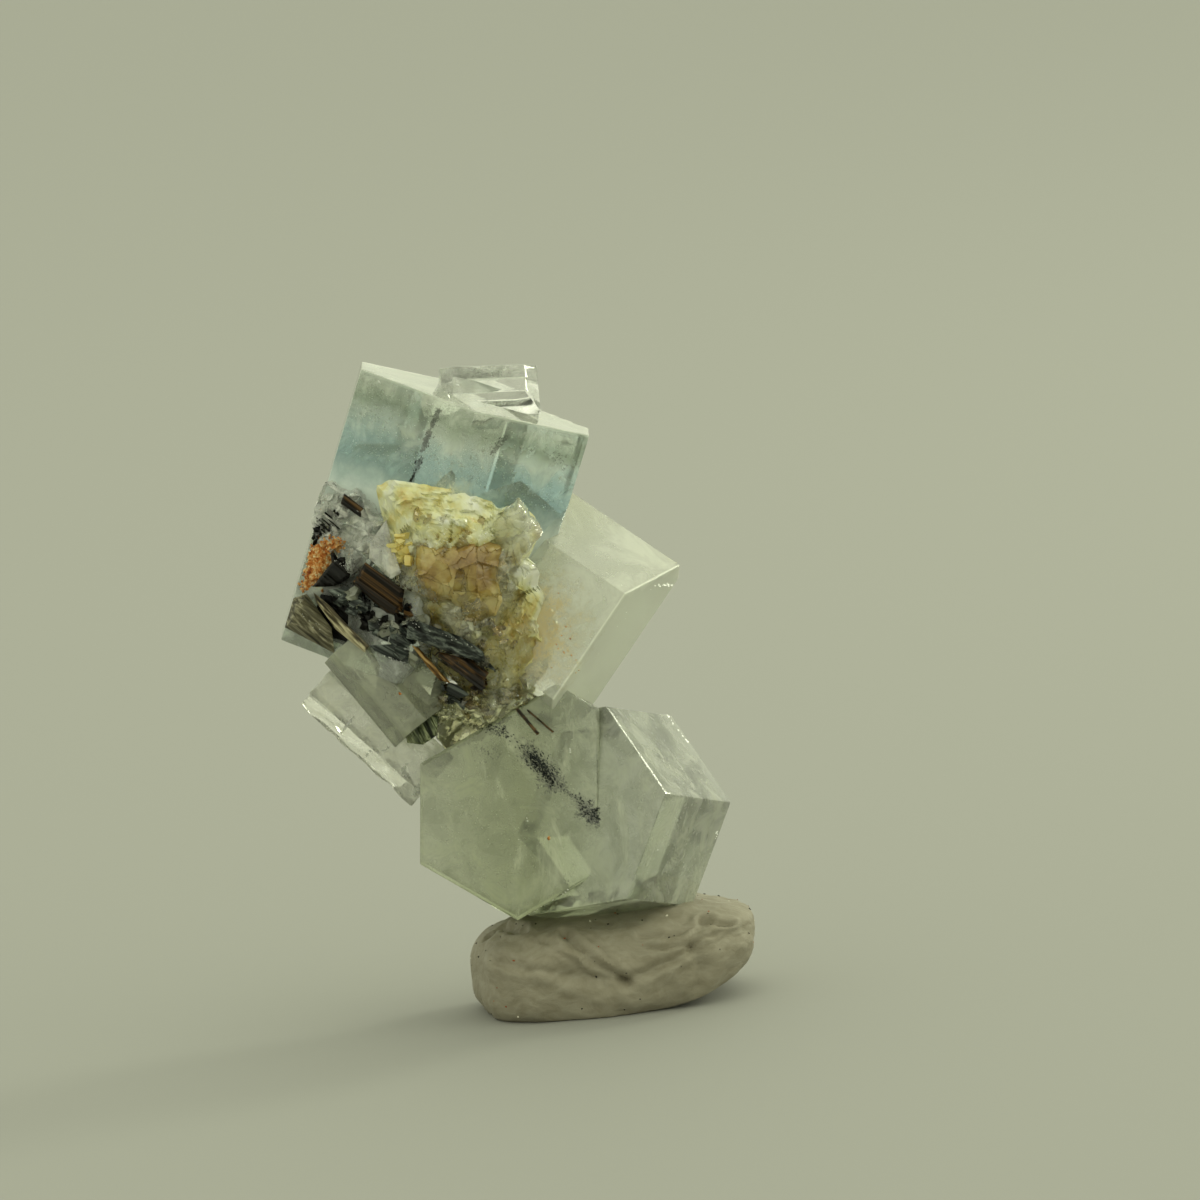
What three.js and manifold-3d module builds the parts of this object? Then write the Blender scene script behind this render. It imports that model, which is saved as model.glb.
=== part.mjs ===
// Aquamarine specimen: beryl crystals grown together, with black tourmaline (schorl) and iron-stained
// matrix on the largest of them, stood upright in a lump of mineral putty.
// Millimetres, +Z up, the viewer on the -Y side, origin on the floor under the middle of the whole thing.
import * as THREE from "three";
import { mergeVertices } from "three/addons/utils/BufferGeometryUtils.js";
import Module from "manifold-3d";

const wasm = await Module();
wasm.setup();

// Clearance between pieces that touch
const GAP = 0.25;

// Where the middle of the bounding box falls in the specimen's own coordinates
const MIDDLE = { x: 0.07, y: -0.2 };

// Beryl crystals: the middle of each prism, the way it points, the way its first side face looks, how far
// its six side faces lie from the axis in order round it, and its length from end face to end face
const BERYL = {
  blue: {
    at: [-2.4, 0.4, 18.6], axis: [0.358, 0, 0.934], facing: [1, 0, 0],
    faces: [4.5, 2.6, 2.6, 4.5, 3.9, 3.9], length: 10.8,
  },
  cap: {
    at: [0.1, 0.2, 23.8], axis: [0.99, 0.11, -0.06], facing: [0.06, 0.2, 0.97],
    faces: [0.95, 0.9, 1, 0.95, 0.9, 1], length: 3.7,
  },
  right: {
    at: [0.9, 0.7, 15.9], axis: [0.74, -0.39, -0.54], facing: [-0.24, -0.91, 0.33],
    faces: [2.2, 3.5, 3.5, 2.2, 4.3, 2.9], length: 8,
  },
  lowerFront: {
    at: [-0.4, -0.3, 7.6], axis: [0, -0.989, 0.148], facing: [1, 0, -0.08],
    faces: [3.4, 5.2, 3.4, 3.4, 3.3, 3.6], length: 6,
  },
  lowerRight: {
    at: [3.2, 0, 7.2], axis: [0.47, 0.85, -0.24], facing: [0.77, -0.21, 0.61],
    faces: [3.7, 3.7, 3.7, 3.7, 3.7, 3.7], length: 6.1,
  },
  leftPale: {
    at: [-5.2, 0.4, 11.1], axis: [0.69, -0.11, -0.72], facing: [0, -1, 0],
    faces: [1.3, 1.1, 1.1, 1.3, 1.1, 1.1], length: 5.7,
  },
  leftGrey: {
    at: [-4.8, -2.7, 13.3], axis: [0.58, -0.17, -0.8], facing: [0, -1, 0],
    faces: [1.1, 1, 1, 1.1, 1, 1], length: 4.2,
  },
  leftClear: {
    at: [-5.1, -2.1, 19.1], axis: [0.52, -0.2, -0.83], facing: [-0.4, -0.9, 0],
    faces: [1, 0.9, 0.9, 1, 0.9, 0.9], length: 2.6,
  },
};

// Schorl prisms: both ends of the axis, and the radius
const SCHORL_SIDES = 9;
const SCHORL = {
  schorl_knob: { from: [-6.7, -2.1, 18.1], to: [-5.9, -2.7, 17.4], radius: 0.65 },
  schorl_brown_prism: { from: [-5.4, -3, 17.9], to: [-3.9, -3.95, 16.5], radius: 0.6 },
  schorl_left_prism: { from: [-7.9, -1.9, 16.6], to: [-6.5, -2.9, 14.8], radius: 0.55 },
  schorl_long_prism: { from: [-6.5, -2.8, 16.3], to: [-5.6, -3.45, 15.2], radius: 0.4 },
  schorl_shard: { from: [-4.6, -3.95, 15.2], to: [-3.3, -4.3, 14.2], radius: 0.35 },
  schorl_beak: { from: [-3, -4.3, 15.4], to: [-0.8, -2.9, 13.7], radius: 0.45 },
  schorl_dark_prism: { from: [-2.5, -3.85, 13.6], to: [-1.2, -2.8, 12.5], radius: 0.4 },
  schorl_stub: { from: [-5.7, -2.1, 20.8], to: [-5.1, -2.5, 20.3], radius: 0.3 },
  schorl_thick_needle: { from: [0.2, -2.7, 12], to: [0.9, -3.3, 11.1], radius: 0.1 },
  schorl_thin_needle: { from: [0.5, -2.6, 12], to: [1.5, -3.3, 11.1], radius: 0.07 },
};

// Stained matrix: two lumps grown into one and a blocky crystal on them; iron oxide: a crust
const MATRIX_LUMPS = [
  { at: [-1.3, -2.9, 17.1], radii: [3.1, 2, 3.4] },
  { at: [-1.2, -2.4, 12.7], radii: [2.3, 1.9, 1.9] },
];
const MATRIX_BLOCK = { at: [-1.7, -4.2, 17.1], size: [2.8, 1.8, 2.3], tilt: -8 };
const IRON_CRUST = { at: [-6.9, -1.8, 18.4], radii: [0.7, 0.4, 1] };
const LUMP_ROUGHNESS = 0.05;

// Putty: an oval lump that stands a little higher at its right end and is pressed flat underneath
const PUTTY = { at: [3.1, 0.4, 1.7], half: [5.4, 3.7, 2.2], turn: 12, rise: 0.2, squareness: 4 };
const FLOOR_CUT = 20;

const axisVector = (list) => new THREE.Vector3(...list).normalize();

// Matrix that stands a prism made along +Z on its axis, first face looking the given way
function placement({ at, axis, facing }) {
  const along = axisVector(axis);
  const side = axisVector(facing);
  const across = new THREE.Vector3().crossVectors(along, side).normalize();
  side.crossVectors(across, along);
  return new THREE.Matrix4().makeBasis(side, across, along).setPosition(...at);
}

// Corners of a six-sided outline from the distances of its sides, every 60 degrees round
function hexagonCorners(distances) {
  return distances.map((near, i) => {
    const far = distances[(i + 1) % distances.length];
    const angle = (i * Math.PI) / 3;
    const next = angle + Math.PI / 3;
    const x = near * Math.sin(next) - far * Math.sin(angle);
    const y = far * Math.cos(angle) - near * Math.cos(next);
    return new THREE.Vector2(x, y).divideScalar(Math.sin(next - angle));
  });
}

// One beryl prism in place, its faces moved outward by grow
function berylPrism(crystal, grow) {
  const outline = new THREE.Shape(hexagonCorners(crystal.faces.map((distance) => distance + grow)));
  const depth = crystal.length + 2 * grow;
  const prism = new THREE.ExtrudeGeometry(outline, { depth, bevelEnabled: false });
  return prism.translate(0, 0, -depth / 2).applyMatrix4(placement(crystal));
}

// One schorl prism along +Z, its faces moved outward by grow
function schorlPrism({ from, to, radius }, grow) {
  const length = axisLength(from, to) + 2 * grow;
  const prism = new THREE.CylinderGeometry(radius + grow, radius + grow, length, SCHORL_SIDES);
  return prism.rotateX(Math.PI / 2);
}

const axisLength = (from, to) => new THREE.Vector3(...from).distanceTo(new THREE.Vector3(...to));

// Rough lump: a ball squeezed to its radii, its surface raised and sunk in broad waves
function roughLump({ at, radii }) {
  const lump = new THREE.IcosahedronGeometry(1, 5);
  const point = new THREE.Vector3();
  const places = lump.attributes.position;
  for (let i = 0; i < places.count; i += 1) {
    point.fromBufferAttribute(places, i);
    const wave = Math.sin(5 * point.x + 2) * Math.sin(4 * point.z + 1) + 0.5 * Math.sin(9 * point.y);
    point.multiplyScalar(1 + LUMP_ROUGHNESS * wave);
    places.setXYZ(i, point.x, point.y, point.z);
  }
  return lump.scale(...radii).translate(...at);
}

// Putty lump before it is pressed: a squarish ball, one end raised
function puttyLump() {
  const { at, half, turn, rise, squareness } = PUTTY;
  const lump = new THREE.SphereGeometry(1, 30, 20).rotateX(Math.PI / 2);
  const point = new THREE.Vector3();
  const places = lump.attributes.position;
  for (let i = 0; i < places.count; i += 1) {
    point.fromBufferAttribute(places, i);
    const sum = [point.x, point.y, point.z].reduce((all, side) => all + Math.abs(side) ** squareness, 0);
    point.divideScalar(sum ** (1 / squareness));
    const lift = rise * point.x * (1 + point.z) / 2;
    places.setXYZ(i, half[0] * point.x, half[1] * point.y, half[2] * point.z + lift);
  }
  return lump.rotateZ(THREE.MathUtils.degToRad(turn)).translate(...at);
}

// Closed solid for cutting and joining, from a geometry's positions alone
function solid(geometry) {
  const bare = geometry.clone();
  bare.deleteAttribute("normal");
  bare.deleteAttribute("uv");
  const merged = mergeVertices(bare);
  const vertProperties = new Float32Array(merged.attributes.position.array);
  const triVerts = new Uint32Array(merged.index.array);
  return new wasm.Manifold(new wasm.Mesh({ numProp: 3, vertProperties, triVerts }));
}

function geometryOf(body) {
  const { vertProperties, triVerts } = body.getMesh();
  const geometry = new THREE.BufferGeometry();
  geometry.setAttribute("position", new THREE.BufferAttribute(vertProperties, 3));
  geometry.setIndex(new THREE.BufferAttribute(triVerts, 1));
  geometry.computeVertexNormals();
  return geometry;
}

const joined = (solids) => solids.reduce((all, one) => all.add(one));

// All beryl crystals as one solid, with its faces moved outward by grow
function berylCluster(grow) {
  return joined(Object.values(BERYL).map((crystal) => solid(berylPrism(crystal, grow))));
}

function placeSchorl(object, { from, to }) {
  const start = new THREE.Vector3(...from);
  const end = new THREE.Vector3(...to);
  object.position.addVectors(start, end).divideScalar(2);
  object.quaternion.setFromUnitVectors(new THREE.Vector3(0, 0, 1), end.sub(start).normalize());
  object.updateMatrix();
  return object;
}

// All schorl prisms with their clearance, as one solid to cut pockets with
function schorlPockets() {
  return joined(Object.values(SCHORL).map((prism) => {
    const { matrix } = placeSchorl(new THREE.Object3D(), prism);
    return solid(schorlPrism(prism, GAP).applyMatrix4(matrix));
  }));
}

function matrixSolid() {
  const { at, size, tilt } = MATRIX_BLOCK;
  const block = new THREE.BoxGeometry(...size).rotateY(THREE.MathUtils.degToRad(tilt)).translate(...at);
  return joined([...MATRIX_LUMPS.map(roughLump), block].map(solid));
}

const material = (color, roughness) => new THREE.MeshStandardMaterial({ color, roughness, metalness: 0 });

function named(name, geometry, finish) {
  const mesh = new THREE.Mesh(geometry, finish);
  mesh.name = name;
  return mesh;
}

const cluster = berylCluster(0);
const clusterSpace = berylCluster(GAP);
const pockets = schorlPockets();
const floor = solid(new THREE.BoxGeometry(FLOOR_CUT, FLOOR_CUT, FLOOR_CUT).translate(0, 0, -FLOOR_CUT / 2));
const matrixLump = matrixSolid().subtract(clusterSpace).subtract(pockets);
const crust = solid(roughLump(IRON_CRUST)).subtract(clusterSpace).subtract(pockets);
const putty = solid(puttyLump()).subtract(floor).subtract(clusterSpace);

const specimen = new THREE.Group();
specimen.position.set(-MIDDLE.x, -MIDDLE.y, 0);
specimen.add(
  named("aquamarine_cluster", geometryOf(cluster.subtract(pockets)), material("#a9c4bf", 0.1)),
  named("stained_matrix", geometryOf(matrixLump), material("#c3b27c", 0.5)),
  named("iron_oxide_crust", geometryOf(crust), material("#a85a22", 0.9)),
  named("putty_base", geometryOf(putty), material("#a39a86", 0.85)),
);
for (const [name, prism] of Object.entries(SCHORL)) {
  specimen.add(placeSchorl(named(name, schorlPrism(prism, 0), material("#1c1a18", 0.3)), prism));
}

const root = new THREE.Group();
root.add(specimen);
export default root;
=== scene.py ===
import random
from math import cos, pi, radians, sin
from typing import NamedTuple

import bpy
import numpy as np
from bpy.props import FloatProperty, FloatVectorProperty, IntProperty, PointerProperty
from mathutils import Matrix, Vector, noise


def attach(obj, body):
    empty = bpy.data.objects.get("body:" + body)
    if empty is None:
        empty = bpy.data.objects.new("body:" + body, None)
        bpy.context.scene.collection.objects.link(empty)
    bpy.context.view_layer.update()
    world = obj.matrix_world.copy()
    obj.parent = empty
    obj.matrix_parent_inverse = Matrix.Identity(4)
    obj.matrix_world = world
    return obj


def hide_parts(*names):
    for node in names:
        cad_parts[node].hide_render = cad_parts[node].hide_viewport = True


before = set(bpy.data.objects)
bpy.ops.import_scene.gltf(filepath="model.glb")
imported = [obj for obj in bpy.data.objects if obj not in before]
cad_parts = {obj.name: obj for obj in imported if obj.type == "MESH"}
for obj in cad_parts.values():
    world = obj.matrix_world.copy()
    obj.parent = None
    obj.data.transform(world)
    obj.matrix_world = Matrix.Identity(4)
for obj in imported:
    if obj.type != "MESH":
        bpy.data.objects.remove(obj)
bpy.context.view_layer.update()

bl_info = {
    "name": "Aquamarine specimen",
    "version": (1, 0, 0),
    "blender": (4, 5, 0),
    "location": "View3D > Sidebar > Specimen",
    "description": "Beryl crystals with schorl and stained matrix, stood in mineral putty",
    "category": "Object",
}

# Pieces are modelled in millimetres and made metres when they are finished
MM = 0.001

# How strongly each mineral bends light
BERYL_IOR = 1.577
QUARTZ_IOR = 1.55
SCHORL_IOR = 1.64

# Putty: half its length, depth and height, how square it is, how much its right end is raised, how far it is
# turned, and where its middle lies
PUTTY_HALF = (5.4, 3.7, 2.2)
PUTTY_SQUARENESS = 3.2
PUTTY_RISE = 0.1
PUTTY_TURN = radians(12)
PUTTY_AT = Vector((3.1, 0.4, 1.45))

# Right end of the putty, which curls up off the floor: where that begins, over what length, how high it is
# lifted, and the height at which the lift has faded
CURL_START = 4.2
CURL_LENGTH = 4.2
CURL_LIFT = 1.3
CURL_TOP = 4.2

# Base of the bell curve across a fold in the putty
BELL = 2.718

# Where the specimen's own origin lies in the frame, in millimetres
SPECIMEN = Vector((-0.07, 0.2, 0))

# The photograph's viewing angle: how far the viewer looks down, and how far upright leans to the left
ELEVATION = radians(8.5)
ROLL = radians(4.5)
LEVEL_UP = Vector((0, sin(ELEVATION), cos(ELEVATION)))
RIGHT = cos(ROLL) * Vector((1, 0, 0)) - sin(ROLL) * LEVEL_UP
UP = sin(ROLL) * Vector((1, 0, 0)) + cos(ROLL) * LEVEL_UP
AWAY = Vector((0, cos(ELEVATION), -sin(ELEVATION)))
TOWARD = -AWAY

# Where the soft light overhead comes from
OVERHEAD = Vector((0.3, 0.1, 0.95)).normalized()

# Where the small light stands, in metres, and the way a face looks that throws it at the viewer
SMALL_LIGHT = Vector((0.24, 0.17, 0.14))
FLASH = ((SMALL_LIGHT - Vector((0, 0, 0.012))).normalized() + TOWARD).normalized()

# The camera: a long lens, so that sight lines are almost parallel
AIM = Vector((3.65, -0.7, 15.62))
DISTANCE = 456
LENS = 360
SENSOR = 36


class Prism(NamedTuple):
    """Six-sided crystal: its middle, the way it points, the way its first side looks, how far its six sides
    lie from the axis in order round it, and its length."""

    at: tuple
    axis: tuple
    facing: tuple
    faces: tuple
    length: float


BLUE = Prism((-2.4, 0.4, 18.6), (0.358, 0, 0.934), (1, 0, 0), (4.5, 2.6, 2.6, 4.5, 3.9, 3.9), 10.8)
CAP = Prism((0.1, 0.2, 23.8), (0.99, 0.11, -0.06), (0.06, 0.2, 0.97), (0.95, 0.9, 1, 0.95, 0.9, 1), 3.7)
RIGHT_HAND = Prism(
    (0.9, 0.7, 15.9), (0.74, -0.39, -0.54), (-0.24, -0.91, 0.33), (2.2, 3.5, 3.5, 2.2, 4.3, 2.9), 8
)
LOWER_FRONT = Prism((-0.4, -0.3, 7.6), (0, -0.989, 0.148), (1, 0, -0.08), (3.4, 5.2, 3.4, 3.4, 3.3, 3.6), 6)
LOWER_RIGHT = Prism((3.2, 0, 7.2), (0.47, 0.85, -0.24), (0.77, -0.21, 0.61), (3.7,) * 6, 6.1)
ACROSS_LOWER = Prism((2, 0, 7.5), (1, 0, 0), (0, -1, 0), (3.7,) * 6, 12)
LEFT_PALE = Prism((-5.2, 0.4, 11.1), (0.69, -0.11, -0.72), (0, -1, 0), (1.3, 1.1, 1.1, 1.3, 1.1, 1.1), 5.7)
LEFT_GREY = Prism((-4.8, -2.7, 13.3), (0.58, -0.17, -0.8), (0, -1, 0), (1.1, 1, 1, 1.1, 1, 1), 4.2)
LEFT_CLEAR = Prism((-5.1, -2.1, 19.1), (0.52, -0.2, -0.83), (-0.4, -0.9, 0), (1, 0.9, 0.9, 1, 0.9, 0.9), 2.6)


class Rod(NamedTuple):
    """Schorl needle: both ends of its axis and its radius."""

    start: tuple
    end: tuple
    radius: float


NEEDLES = {
    "schorl_thick_needle": Rod((0.2, -2.7, 12), (0.9, -3.3, 11.1), 0.065),
    "schorl_thin_needle": Rod((0.5, -2.6, 12), (1.5, -3.3, 11.1), 0.04),
}


class Chip(NamedTuple):
    """Broken prism seen from the front: its outline across and up the picture, the depth of its front, how much
    deeper that gets a millimetre across and a millimetre up, its thickness, its chamfer and its finish."""

    outline: tuple
    depth: float
    lean: tuple
    thickness: float
    chamfer: float
    finish: str


SCHORL = {
    "schorl_knob": Chip((
        (-8.44, 16.07), (-8.02, 16.61), (-7.71, 16.99), (-7.75, 17.37), (-7.6, 17.37), (-7.49, 17.18),
        (-7.22, 17.21), (-6.95, 16.76), (-7.03, 16.45), (-7.26, 16.26), (-7.6, 16.11),
    ), -3.0, (-0.2, 0.2), 0.9, 0.12, "jet"),
    "schorl_brown_prism": Chip((
        (-6.42, 17.02), (-4.94, 15.96), (-5.09, 14.93), (-5.62, 15.09), (-6.16, 15.54), (-6.92, 16.26),
        (-6.69, 16.53),
    ), -3.8, (-0.35, -0.3), 1.0, 0.14, "brown"),
    "schorl_left_prism": Chip((
        (-9.5, 14.55), (-9.16, 15.66), (-8.66, 15.81), (-7.71, 14.52), (-7.6, 13.57),
    ), -2.9, (-0.4, 0.1), 1.0, 0.3, "olive"),
    "schorl_long_prism": Chip((
        (-8.4, 15.88), (-7.71, 15.31), (-7.22, 14.74), (-6.27, 13.83), (-6.46, 13.6), (-7.56, 14.48),
        (-8.28, 15.5),
    ), -3.4, (-0.3, 0), 0.7, 0.1, "striped"),
    "schorl_shard": Chip((
        (-6.27, 13.87), (-4.86, 13.95), (-4.79, 13.19), (-5.47, 13.34), (-6.04, 13.64),
    ), -4.05, (0, 0.25), 0.5, 0.06, "slate"),
    "schorl_beak": Chip((
        (-4.79, 14.74), (-4.37, 14.78), (-2.85, 14.21), (-2.05, 13.72), (-1.48, 12.88), (-1.75, 13.0),
        (-2.39, 13.34), (-3.57, 13.72), (-4.45, 14.06), (-4.86, 14.14),
    ), -4.4, (0.2, -0.3), 0.7, 0.13, "slate"),
    "schorl_dark_prism": Chip((
        (-3.65, 13.64), (-2.39, 13.3), (-1.75, 12.84), (-1.94, 12.54), (-1.9, 12.24), (-2.05, 12.16),
        (-3.15, 13.0), (-3.65, 13.45),
    ), -4.05, (0.2, 0.2), 0.7, 0.08, "brown"),
    "schorl_stub": Chip(
        ((-7.22, 19.61), (-6.42, 19.0), (-6.61, 18.7), (-7.37, 19.23)), -2.9, (-0.2, 0), 0.5, 0.08, "brown"
    ),
}

# Splinters of schorl between the larger ones
SPLINTERS = {
    "dark_square": Chip((
        (-6.65, 15.09), (-6.16, 15.01), (-6.16, 14.59), (-6.54, 14.52),
    ), -3.4, (0, 0), 0.4, 0.05, "jet"),
    "amber_prism": Chip((
        (-4.67, 13.87), (-4.41, 13.79), (-3.57, 12.84), (-3.2, 12.45), (-3.61, 12.54), (-4.03, 13.0),
    ), -4.1, (0.1, 0), 0.4, 0.06, "amber"),
    "slate_wedge": Chip((
        (-7.9, 15.95), (-7.1, 16.1), (-6.75, 15.9), (-6.1, 15.3), (-6.3, 15.0), (-7.0, 15.25),
    ), -3.2, (0, -0.3), 0.4, 0.1, "slate"),
    "slate_flake": Chip((
        (-5.9, 14.9), (-5.2, 14.8), (-4.75, 14.75), (-4.95, 14.1), (-5.6, 14.0), (-6.2, 14.3),
    ), -3.6, (-0.2, 0.2), 0.4, 0.1, "slate"),
    "green_end": Chip((
        (-4.94, 10.94), (-4.22, 11.32), (-3.65, 11.17), (-3.76, 10.45), (-4.26, 10.11), (-4.86, 10.18),
    ), -3.5, (-0.2, 0.2), 0.6, 0.08, "green"),
    "seam_flake": Chip((
        (-3.3, 12.5), (-2.9, 12.35), (-2.5, 12.0), (-2.9, 11.85), (-3.4, 12.0),
    ), -3.7, (0, 0.2), 0.3, 0.06, "slate"),
}


def linear(code):
    """Linear colour of an sRGB hex code."""
    parts = [int(code[i:i + 2], 16) / 255 for i in (1, 3, 5)]
    return [p / 12.92 if p <= 0.04045 else ((p + 0.055) / 1.055) ** 2.4 for p in parts]


def opaque(code):
    """Linear colour of an sRGB hex code, with full alpha."""
    return (*linear(code), 1)


def spot(across, up, depth):
    """Point seen that far across and up in the picture's plane, where the specimen's y is depth."""
    flat = RIGHT * float(across) + UP * float(up)
    return flat + AWAY * ((depth - flat.y) / AWAY.y)


def colour(name, description, code):
    return FloatVectorProperty(
        name=name, description=description, subtype="COLOR", default=linear(code), min=0, max=1
    )


class CrystalSettings(bpy.types.PropertyGroup):
    """Sizes of the beryl."""

    edge: FloatProperty(
        name="Edge width", description="Width of a broken crystal edge, in millimetres", default=0.05
    )
    wave: FloatProperty(
        name="Growth relief", description="Height of the growth relief, in millimetres", default=0.008
    )


class PuttySettings(bpy.types.PropertyGroup):
    """Colour and specks of the putty."""

    body: colour("Putty", "Body colour of the putty", "#A19B8A")
    specks: IntProperty(name="Specks", description="Dark and rusty specks kneaded into the putty", default=80)


class StageSettings(bpy.types.PropertyGroup):
    """Floor and light."""

    floor: colour("Floor", "Plain pale floor", "#A0A09C")
    light: colour("Light", "Warm white of the studio light", "#FBFFE2")
    world: FloatProperty(name="Room light", description="Strength of the light from all round", default=1.18)
    key: FloatProperty(name="Overhead light", description="Strength of the soft light overhead", default=0.42)
    glint: FloatProperty(name="Small light", description="Power of the small light, in watts", default=0.2)


class SpecimenSettings(bpy.types.PropertyGroup):
    """All that a user would change."""

    crystal: PointerProperty(type=CrystalSettings)
    putty: PointerProperty(type=PuttySettings)
    stage: PointerProperty(type=StageSettings)


# Finished pieces by their plain names
PIECES = {}


# Modelling by hand


def deselect():
    """Leaves edit mode with nothing selected."""
    if bpy.context.mode != "OBJECT":
        bpy.ops.object.mode_set(mode="OBJECT")
    bpy.ops.object.select_all(action="DESELECT")


def pick(piece):
    """Makes one piece the only one selected, and the active one."""
    deselect()
    piece.select_set(True)
    bpy.context.view_layer.objects.active = piece


def begin(name, primitive, **sizes):
    """Adds a primitive to start a piece from, and goes into edit mode on it."""
    deselect()
    primitive(**sizes)
    piece = bpy.context.object
    piece.name = name
    piece.data.name = name
    bpy.ops.object.mode_set(mode="EDIT")
    bpy.ops.mesh.select_all(action="SELECT")
    return piece


def cut(point, normal):
    """Cuts off all that lies beyond a plane and closes the cut."""
    bpy.ops.mesh.select_all(action="SELECT")
    bpy.ops.mesh.bisect(plane_co=point, plane_no=normal, use_fill=True, clear_outer=True, threshold=1e-5)


def slice_through(middle, direction, reach, spacing):
    """Divides every face by parallel planes, so that relief has something to move."""
    count = int(reach / spacing)
    for step in range(-count, count + 1):
        bpy.ops.mesh.select_all(action="SELECT")
        place = middle + direction * (step + 0.5) * spacing
        bpy.ops.mesh.bisect(plane_co=place, plane_no=direction, use_fill=False, threshold=1e-5)


def break_edges(width, segments=2):
    """Takes the sharpness off every edge."""
    bpy.ops.mesh.select_all(action="SELECT")
    bpy.ops.mesh.bevel(offset=width, segments=segments, affect="EDGES", clamp_overlap=True)


def settle(piece, matrix):
    """Puts a piece modelled upright at the origin in its place."""
    pick(piece)
    piece.matrix_world = matrix
    bpy.ops.object.transform_apply(location=True, rotation=True, scale=True)


def smooth(piece, angle):
    """Smooths the shading where faces meet at less than an angle in degrees."""
    pick(piece)
    bpy.ops.object.shade_smooth_by_angle(angle=radians(angle))


def apply_modifier(piece, kind, **settings):
    """Adds one modifier and applies it."""
    pick(piece)
    modifier = piece.modifiers.new(kind.title(), kind)
    for key, value in settings.items():
        setattr(modifier, key, value)
    bpy.ops.object.modifier_apply(modifier=modifier.name)


def turned(at, axis, facing):
    """Matrix that stands a piece made along +Z on an axis, its +X turned as near as may be to facing."""
    along = Vector(axis).normalized()
    across = along.cross(Vector(facing)).normalized()
    side = across.cross(along)
    turn = Matrix((side, across, along)).transposed()
    return Matrix.Translation(Vector(at)) @ turn.to_4x4()


def ruffle(piece, height, size, stretch=None, seed=0):
    """Raises and sinks a surface in waves of one size; stretch is an axis along which they run long."""
    shift = Vector((seed * 7.3, seed * 3.1, seed * 5.7))
    axis = Vector(stretch).normalized() if stretch else None
    moved = []
    for vertex in piece.data.vertices:
        place = vertex.co / size + shift
        if axis:
            place = place - axis * place.dot(axis) * 0.9
        moved.append(vertex.co + vertex.normal * height * noise.noise(place))
    for vertex, place in zip(piece.data.vertices, moved):
        vertex.co = place


def finish(piece, material, slot, nodes=()):
    """Makes a modelled piece part of the frame, in metres, with its material."""
    pick(piece)
    piece.data.transform(Matrix.Translation(SPECIMEN))
    piece.data.transform(Matrix.Scale(MM, 4))
    piece.data.materials.clear()
    piece.data.materials.append(material)
    PIECES[piece.name.split(".")[0]] = piece
    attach(piece, "root")
    if nodes:
        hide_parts(*nodes)
    return piece


def shape_of(piece):
    """Corners and faces of a modelled shape, which is then put away."""
    deselect()
    corners = np.array([v.co for v in piece.data.vertices])
    faces = [list(p.vertices) for p in piece.data.polygons]
    bpy.data.objects.remove(piece)
    return corners, faces


def joined_mesh(name, parts):
    """One mesh from many copies; each is a shape with the matrix that places it."""
    corners = []
    faces = []
    first = 0
    for (points, sides), matrix in parts:
        corners.append(points @ np.array(matrix.to_3x3()).T + np.array(matrix.translation))
        faces.extend([[first + i for i in side] for side in sides])
        first += len(points)
    mesh = bpy.data.meshes.new(name)
    mesh.from_pydata(np.concatenate(corners).tolist(), [], faces)
    mesh.update()
    piece = bpy.data.objects.new(name, mesh)
    bpy.context.scene.collection.objects.link(piece)
    return piece


def stray(rng, size):
    """Short way in any direction."""
    return Vector([rng.gauss(0, size) for _ in range(3)])


def random_turn(rng):
    """Any turn at all."""
    axis = stray(rng, 1).normalized()
    return Matrix.Rotation(rng.uniform(0, 2 * pi), 4, axis)


def flashing_turn(rng):
    """A turn that lays a flake so that it throws the small light at the viewer."""
    return turned((0, 0, 0), FLASH + stray(rng, 0.05), RIGHT)


def seen_on(names, across, up):
    """Place that the viewer sees that far across and up on the nearest of some finished pieces, or None beside
    them all."""
    start = (spot(across, up, -30) + SPECIMEN) * MM
    hits = [PIECES[name].ray_cast(start, AWAY) for name in names]
    places = [place / MM - SPECIMEN for found, place, _, _ in hits if found]
    return min(places, key=lambda place: place.dot(AWAY), default=None)


def dotted(name, shapes, lines, rng, turn=random_turn):
    """Small copies along lines that are seen on finished pieces, each the pieces, both ends of the line across
    and up, how far the copies stray, how many they are and two sizes."""
    parts = []
    for ground, start, end, wander, count, sizes in lines:
        for _ in range(count):
            across, up = Vector(start).lerp(Vector(end), rng.random())
            place = seen_on(ground.split(), across + rng.gauss(0, wander), up + rng.gauss(0, wander))
            size = Matrix.Scale(rng.uniform(*sizes), 4)
            if place:
                parts.append((rng.choice(shapes), Matrix.Translation(place) @ turn(rng) @ size))
    return joined_mesh(name, parts)


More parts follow.
